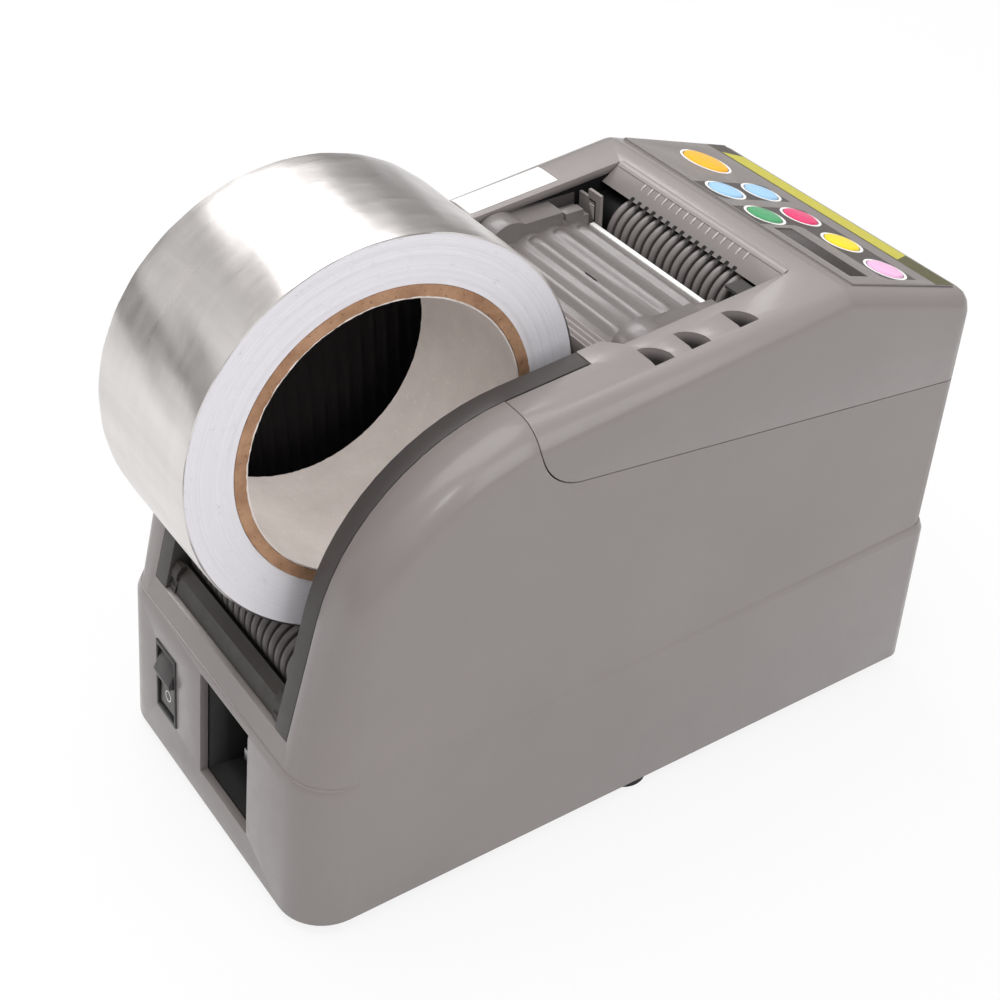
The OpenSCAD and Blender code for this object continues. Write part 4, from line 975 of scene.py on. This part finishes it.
def lever_ridge(k, cols=24, rows=12):
    """One rounded ridge on the lever's plate that fades out towards both ends."""
    pitch = (LEVER_Y[1] - LEVER_Y[0]) / RIDGES
    middle = LEVER_Y[0] + pitch * (k + 0.5)
    root, crown = [], []
    for across in steps(-1, 1, rows):
        y = middle + RIDGE_SHARE * pitch * across
        rise = RIDGE_LIFT * (0.5 + 0.5 * math.cos(math.pi * across))
        root.append([])
        crown.append([])
        for t in steps(-1, 1, cols):
            end = min(1.0, (1 - abs(t)) * RIDGE_FADE)
            fade = end * end * (3 - 2 * end)
            root[-1].append(dropped(lever, RIDGE_HW * t, y, RIDGE_ROOT))
            crown[-1].append(dropped(lever, RIDGE_HW * t, y, rise * fade - RIDGE_SINK))
    return slab(root, crown)


ridges = merged([lever_ridge(k) for k in range(RIDGES)])
piece("lever_ridges", *ridges, "lever", "case_plastic", NODE_LOOKS["press_lever"])
slit_z = dropped(lever, *SLIT_MID, RIDGE_LIFT - SLIT_SINK).z
slit = prism(in_mm(SLIT), along_z, slit_z, slit_z + SLIT_T)
piece("lever_slit", *slit, "lever", "black_plastic", BLACK_AND_PAINTED_SHADE, smooth=False)

# Painted shade: a black sheet on the front face of the entry bridge, seen through the slot behind the lever
SLOT_OFF = (0.02 * MM, 0.25 * MM)
SLOT_LOW, SLOT_HIGH, SLOT_ENDS = 0.4 * MM, 1.2 * MM, 0.2 * MM
bridge_low, bridge_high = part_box("entry_bridge")
shade_rear, shade_front = (bridge_low.y - off for off in SLOT_OFF)
shade_low, shade_high = bridge_low.z + SLOT_LOW, bridge_high.z - SLOT_HIGH
bar("slot_shade", [(shade_rear, shade_low), (shade_front, shade_low), (shade_front, shade_high),
                   (shade_rear, shade_high)],
    bridge_low.x + SLOT_ENDS, bridge_high.x - SLOT_ENDS, "black_plastic", BLACK_AND_PAINTED_SHADE)

# Rear: cap of the ledge, its hooks, and the rocker's lower face with a ring

TRAY_INSET = 0.1 * MM
TRAY_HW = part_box("bay_tray")[1].x - TRAY_INSET
CAP = ((98.65, 59.4), (96.85, 65.1), (93.6, 66.75), (93.25, 66.2), (93.5, 65.02), (96.6, 65.02),
       (98.45, 59.4))
HOOK = ((98.95, 59.6), (98.5, 61.2), (97.4, 61.5), (97.0, 63.2), (98.1, 63.6), (97.6, 65.6), (96.0, 67.6),
        (94.6, 67.6), (94.6, 65.8), (96.9, 64.9), (98.6, 59.6))
HOOK_W = 3.5 * MM

bar("ledge_cap", in_mm(CAP), -TRAY_HW, TRAY_HW, "frame_plastic", TRAY_DARK)
for side, word in SIDES:
    ends = sorted((side * TRAY_HW, side * (TRAY_HW - HOOK_W)))
    bar("ledge_hook_" + word, in_mm(HOOK), *ends, "frame_plastic", TRAY_DARK)

ROCKER_FACING = Vector((0.0, 1.0, 0.1)).normalized()
ROCKER_N, rocker_points = flat_face("power_rocker", ROCKER_FACING)
ROCKER_UP = Vector((0.0, -ROCKER_N.z, ROCKER_N.y))
ROCKER_O = min(rocker_points, key=lambda c: c.z).copy()
rocker_x = [c.x for c in rocker_points]
ROCKER_L = max((c - ROCKER_O).dot(ROCKER_UP) for c in rocker_points)
ROCKER_MID = (min(rocker_x) + max(rocker_x)) / 2
ROCKER_O.x = 0.0


def on_rocker(u, v, w):
    return ROCKER_O + Vector((u, 0, 0)) + ROCKER_UP * v + ROCKER_N * w


FACE_MARGIN = 0.5 * MM
FACE_V = (0.6 * MM, 0.3 * MM)
FACE_T = 0.08 * MM
RING_R = (1.5 * MM, 1.85 * MM)
RING_TOP = 0.14 * MM
RING_SHARE = 0.45
face_plan = rounded(min(rocker_x) + FACE_MARGIN, max(rocker_x) - FACE_MARGIN,
                    FACE_V[0], ROCKER_L - FACE_V[1], FACE_MARGIN)
rocker_face = prism(face_plan, on_rocker, HAIR, FACE_T)
piece("rocker_face", *rocker_face, "rocker", "black_plastic", ROCKER_GREY, smooth=False)
ring_loops = [oval(ROCKER_MID, RING_SHARE * ROCKER_L, r, r) for r in RING_R]
rocker_ring = band_prism(*ring_loops, on_rocker, FACE_T, RING_TOP)
piece("rocker_ring", *rocker_ring, "rocker", "overlay", WHITE_INK, smooth=False)

# Stage, light and camera


def stage_plane(name, size, z):
    """A flat square that belongs to the stage."""
    corners = [(-size, -size, z), (size, -size, z), (size, size, z), (-size, size, z)]
    mesh = bpy.data.meshes.new(name)
    mesh.from_pydata(corners, [], [(0, 1, 2, 3)])
    obj = bpy.data.objects.new(name, mesh)
    bpy.context.scene.collection.objects.link(obj)
    return obj


PAPER_GREY = 0.8
PAPER_GLOW = 0.85


def white_stage_material():
    """White paper that glows for the camera, reflections and glass, and keeps some of the shadow."""
    material = bpy.data.materials.new("paper")
    material.use_nodes = True
    tree = material.node_tree
    tree.nodes.clear()
    out = tree.nodes.new("ShaderNodeOutputMaterial")
    mix = tree.nodes.new("ShaderNodeMixShader")
    glow = tree.nodes.new("ShaderNodeEmission")
    paper = tree.nodes.new("ShaderNodeBsdfDiffuse")
    rays = tree.nodes.new("ShaderNodeLightPath").outputs
    glow.inputs["Strength"].default_value = 1.0
    paper.inputs["Color"].default_value = (PAPER_GREY, PAPER_GREY, PAPER_GREY, 1.0)

    def maths(operation, a, b):
        node = tree.nodes.new("ShaderNodeMath")
        node.operation = operation
        tree.links.new(a, node.inputs[0])
        if isinstance(b, bpy.types.NodeSocket):
            tree.links.new(b, node.inputs[1])
        else:
            node.inputs[1].default_value = b
        return node.outputs[0]

    seen = maths("MAXIMUM", rays["Is Camera Ray"], rays["Is Glossy Ray"])
    seen = maths("MAXIMUM", seen, rays["Is Transmission Ray"])
    tree.links.new(maths("MULTIPLY", seen, PAPER_GLOW), mix.inputs["Fac"])
    tree.links.new(paper.outputs[0], mix.inputs[1])
    tree.links.new(glow.outputs[0], mix.inputs[2])
    tree.links.new(mix.outputs[0], out.inputs["Surface"])
    return material


FLOOR_SIZE = 4.0
FLOOR_Z = -0.2 * MM
floor = stage_plane("floor", FLOOR_SIZE, FLOOR_Z)
floor.data.materials.append(white_stage_material())

# World light that grows with the height of the sky
SKY = {"From Min": 0.05, "From Max": 0.75, "To Min": 0.14, "To Max": 0.75}
SKY_WHITE = (1.0, 0.99, 0.98, 1.0)
world = bpy.data.worlds.new("studio")
bpy.context.scene.world = world
world.use_nodes = True
sky = world.node_tree
direction = sky.nodes.new("ShaderNodeSeparateXYZ")
ramp = sky.nodes.new("ShaderNodeMapRange")
for key, value in SKY.items():
    ramp.inputs[key].default_value = value
background = sky.nodes["Background"]
background.inputs["Color"].default_value = SKY_WHITE
sky.links.new(sky.nodes.new("ShaderNodeTexCoord").outputs["Generated"], direction.inputs[0])
sky.links.new(direction.outputs["Z"], ramp.inputs["Value"])
sky.links.new(ramp.outputs[0], background.inputs["Strength"])

# Lamps: name, place, width, height and power; all look at the middle of the object
AIM = Vector((0.0, 0.0, 0.09))
LAMPS = (
    ("overhead", (0.1, 0.1, 1.1), 0.9, 0.9, 5.6),
    ("side_fill", (-1.1, -0.25, 0.75), 0.8, 0.8, 4.2),
    ("far_strip", (0.80, -0.13, 1.0), 0.7, 0.35, 4.0),
    ("key", (-0.62, 0.42, 0.8), 0.17, 0.17, 0.8),
    ("foil_card", (0.85, 0.8, 0.6), 0.6, 0.4, 0.4),
)


def softbox(name, place, width, height, power):
    """A flat lamp that looks at the object."""
    lamp = bpy.data.lights.new(name, "AREA")
    lamp.shape = "RECTANGLE"
    lamp.size, lamp.size_y = width, height
    lamp.energy = power
    obj = bpy.data.objects.new(name, lamp)
    bpy.context.scene.collection.objects.link(obj)
    obj.location = place
    obj.rotation_euler = (AIM - Vector(place)).to_track_quat("-Z", "Y").to_euler()


for lamp_values in LAMPS:
    softbox(*lamp_values)

# Camera solved from the photograph: place in metres, turn in degrees, lens in mm on a 36 mm sensor
CAMERA_PLACE = (-0.35814, 0.24429, 0.40120)
CAMERA_TURN = (52.7676, -0.4525, -123.1403)
CAMERA_LENS = 66.369
CAMERA_SENSOR = 36.0
CAMERA_CLIP = (0.01, 20.0)
camera = bpy.data.cameras.new("camera")
camera.sensor_width = CAMERA_SENSOR
camera.lens = CAMERA_LENS
camera.clip_start, camera.clip_end = CAMERA_CLIP
view = bpy.data.objects.new("camera", camera)
bpy.context.scene.collection.objects.link(view)
view.location = CAMERA_PLACE
view.rotation_euler = tuple(math.radians(a) for a in CAMERA_TURN)
bpy.context.scene.camera = view
bpy.context.scene.view_settings.view_transform = "Standard"
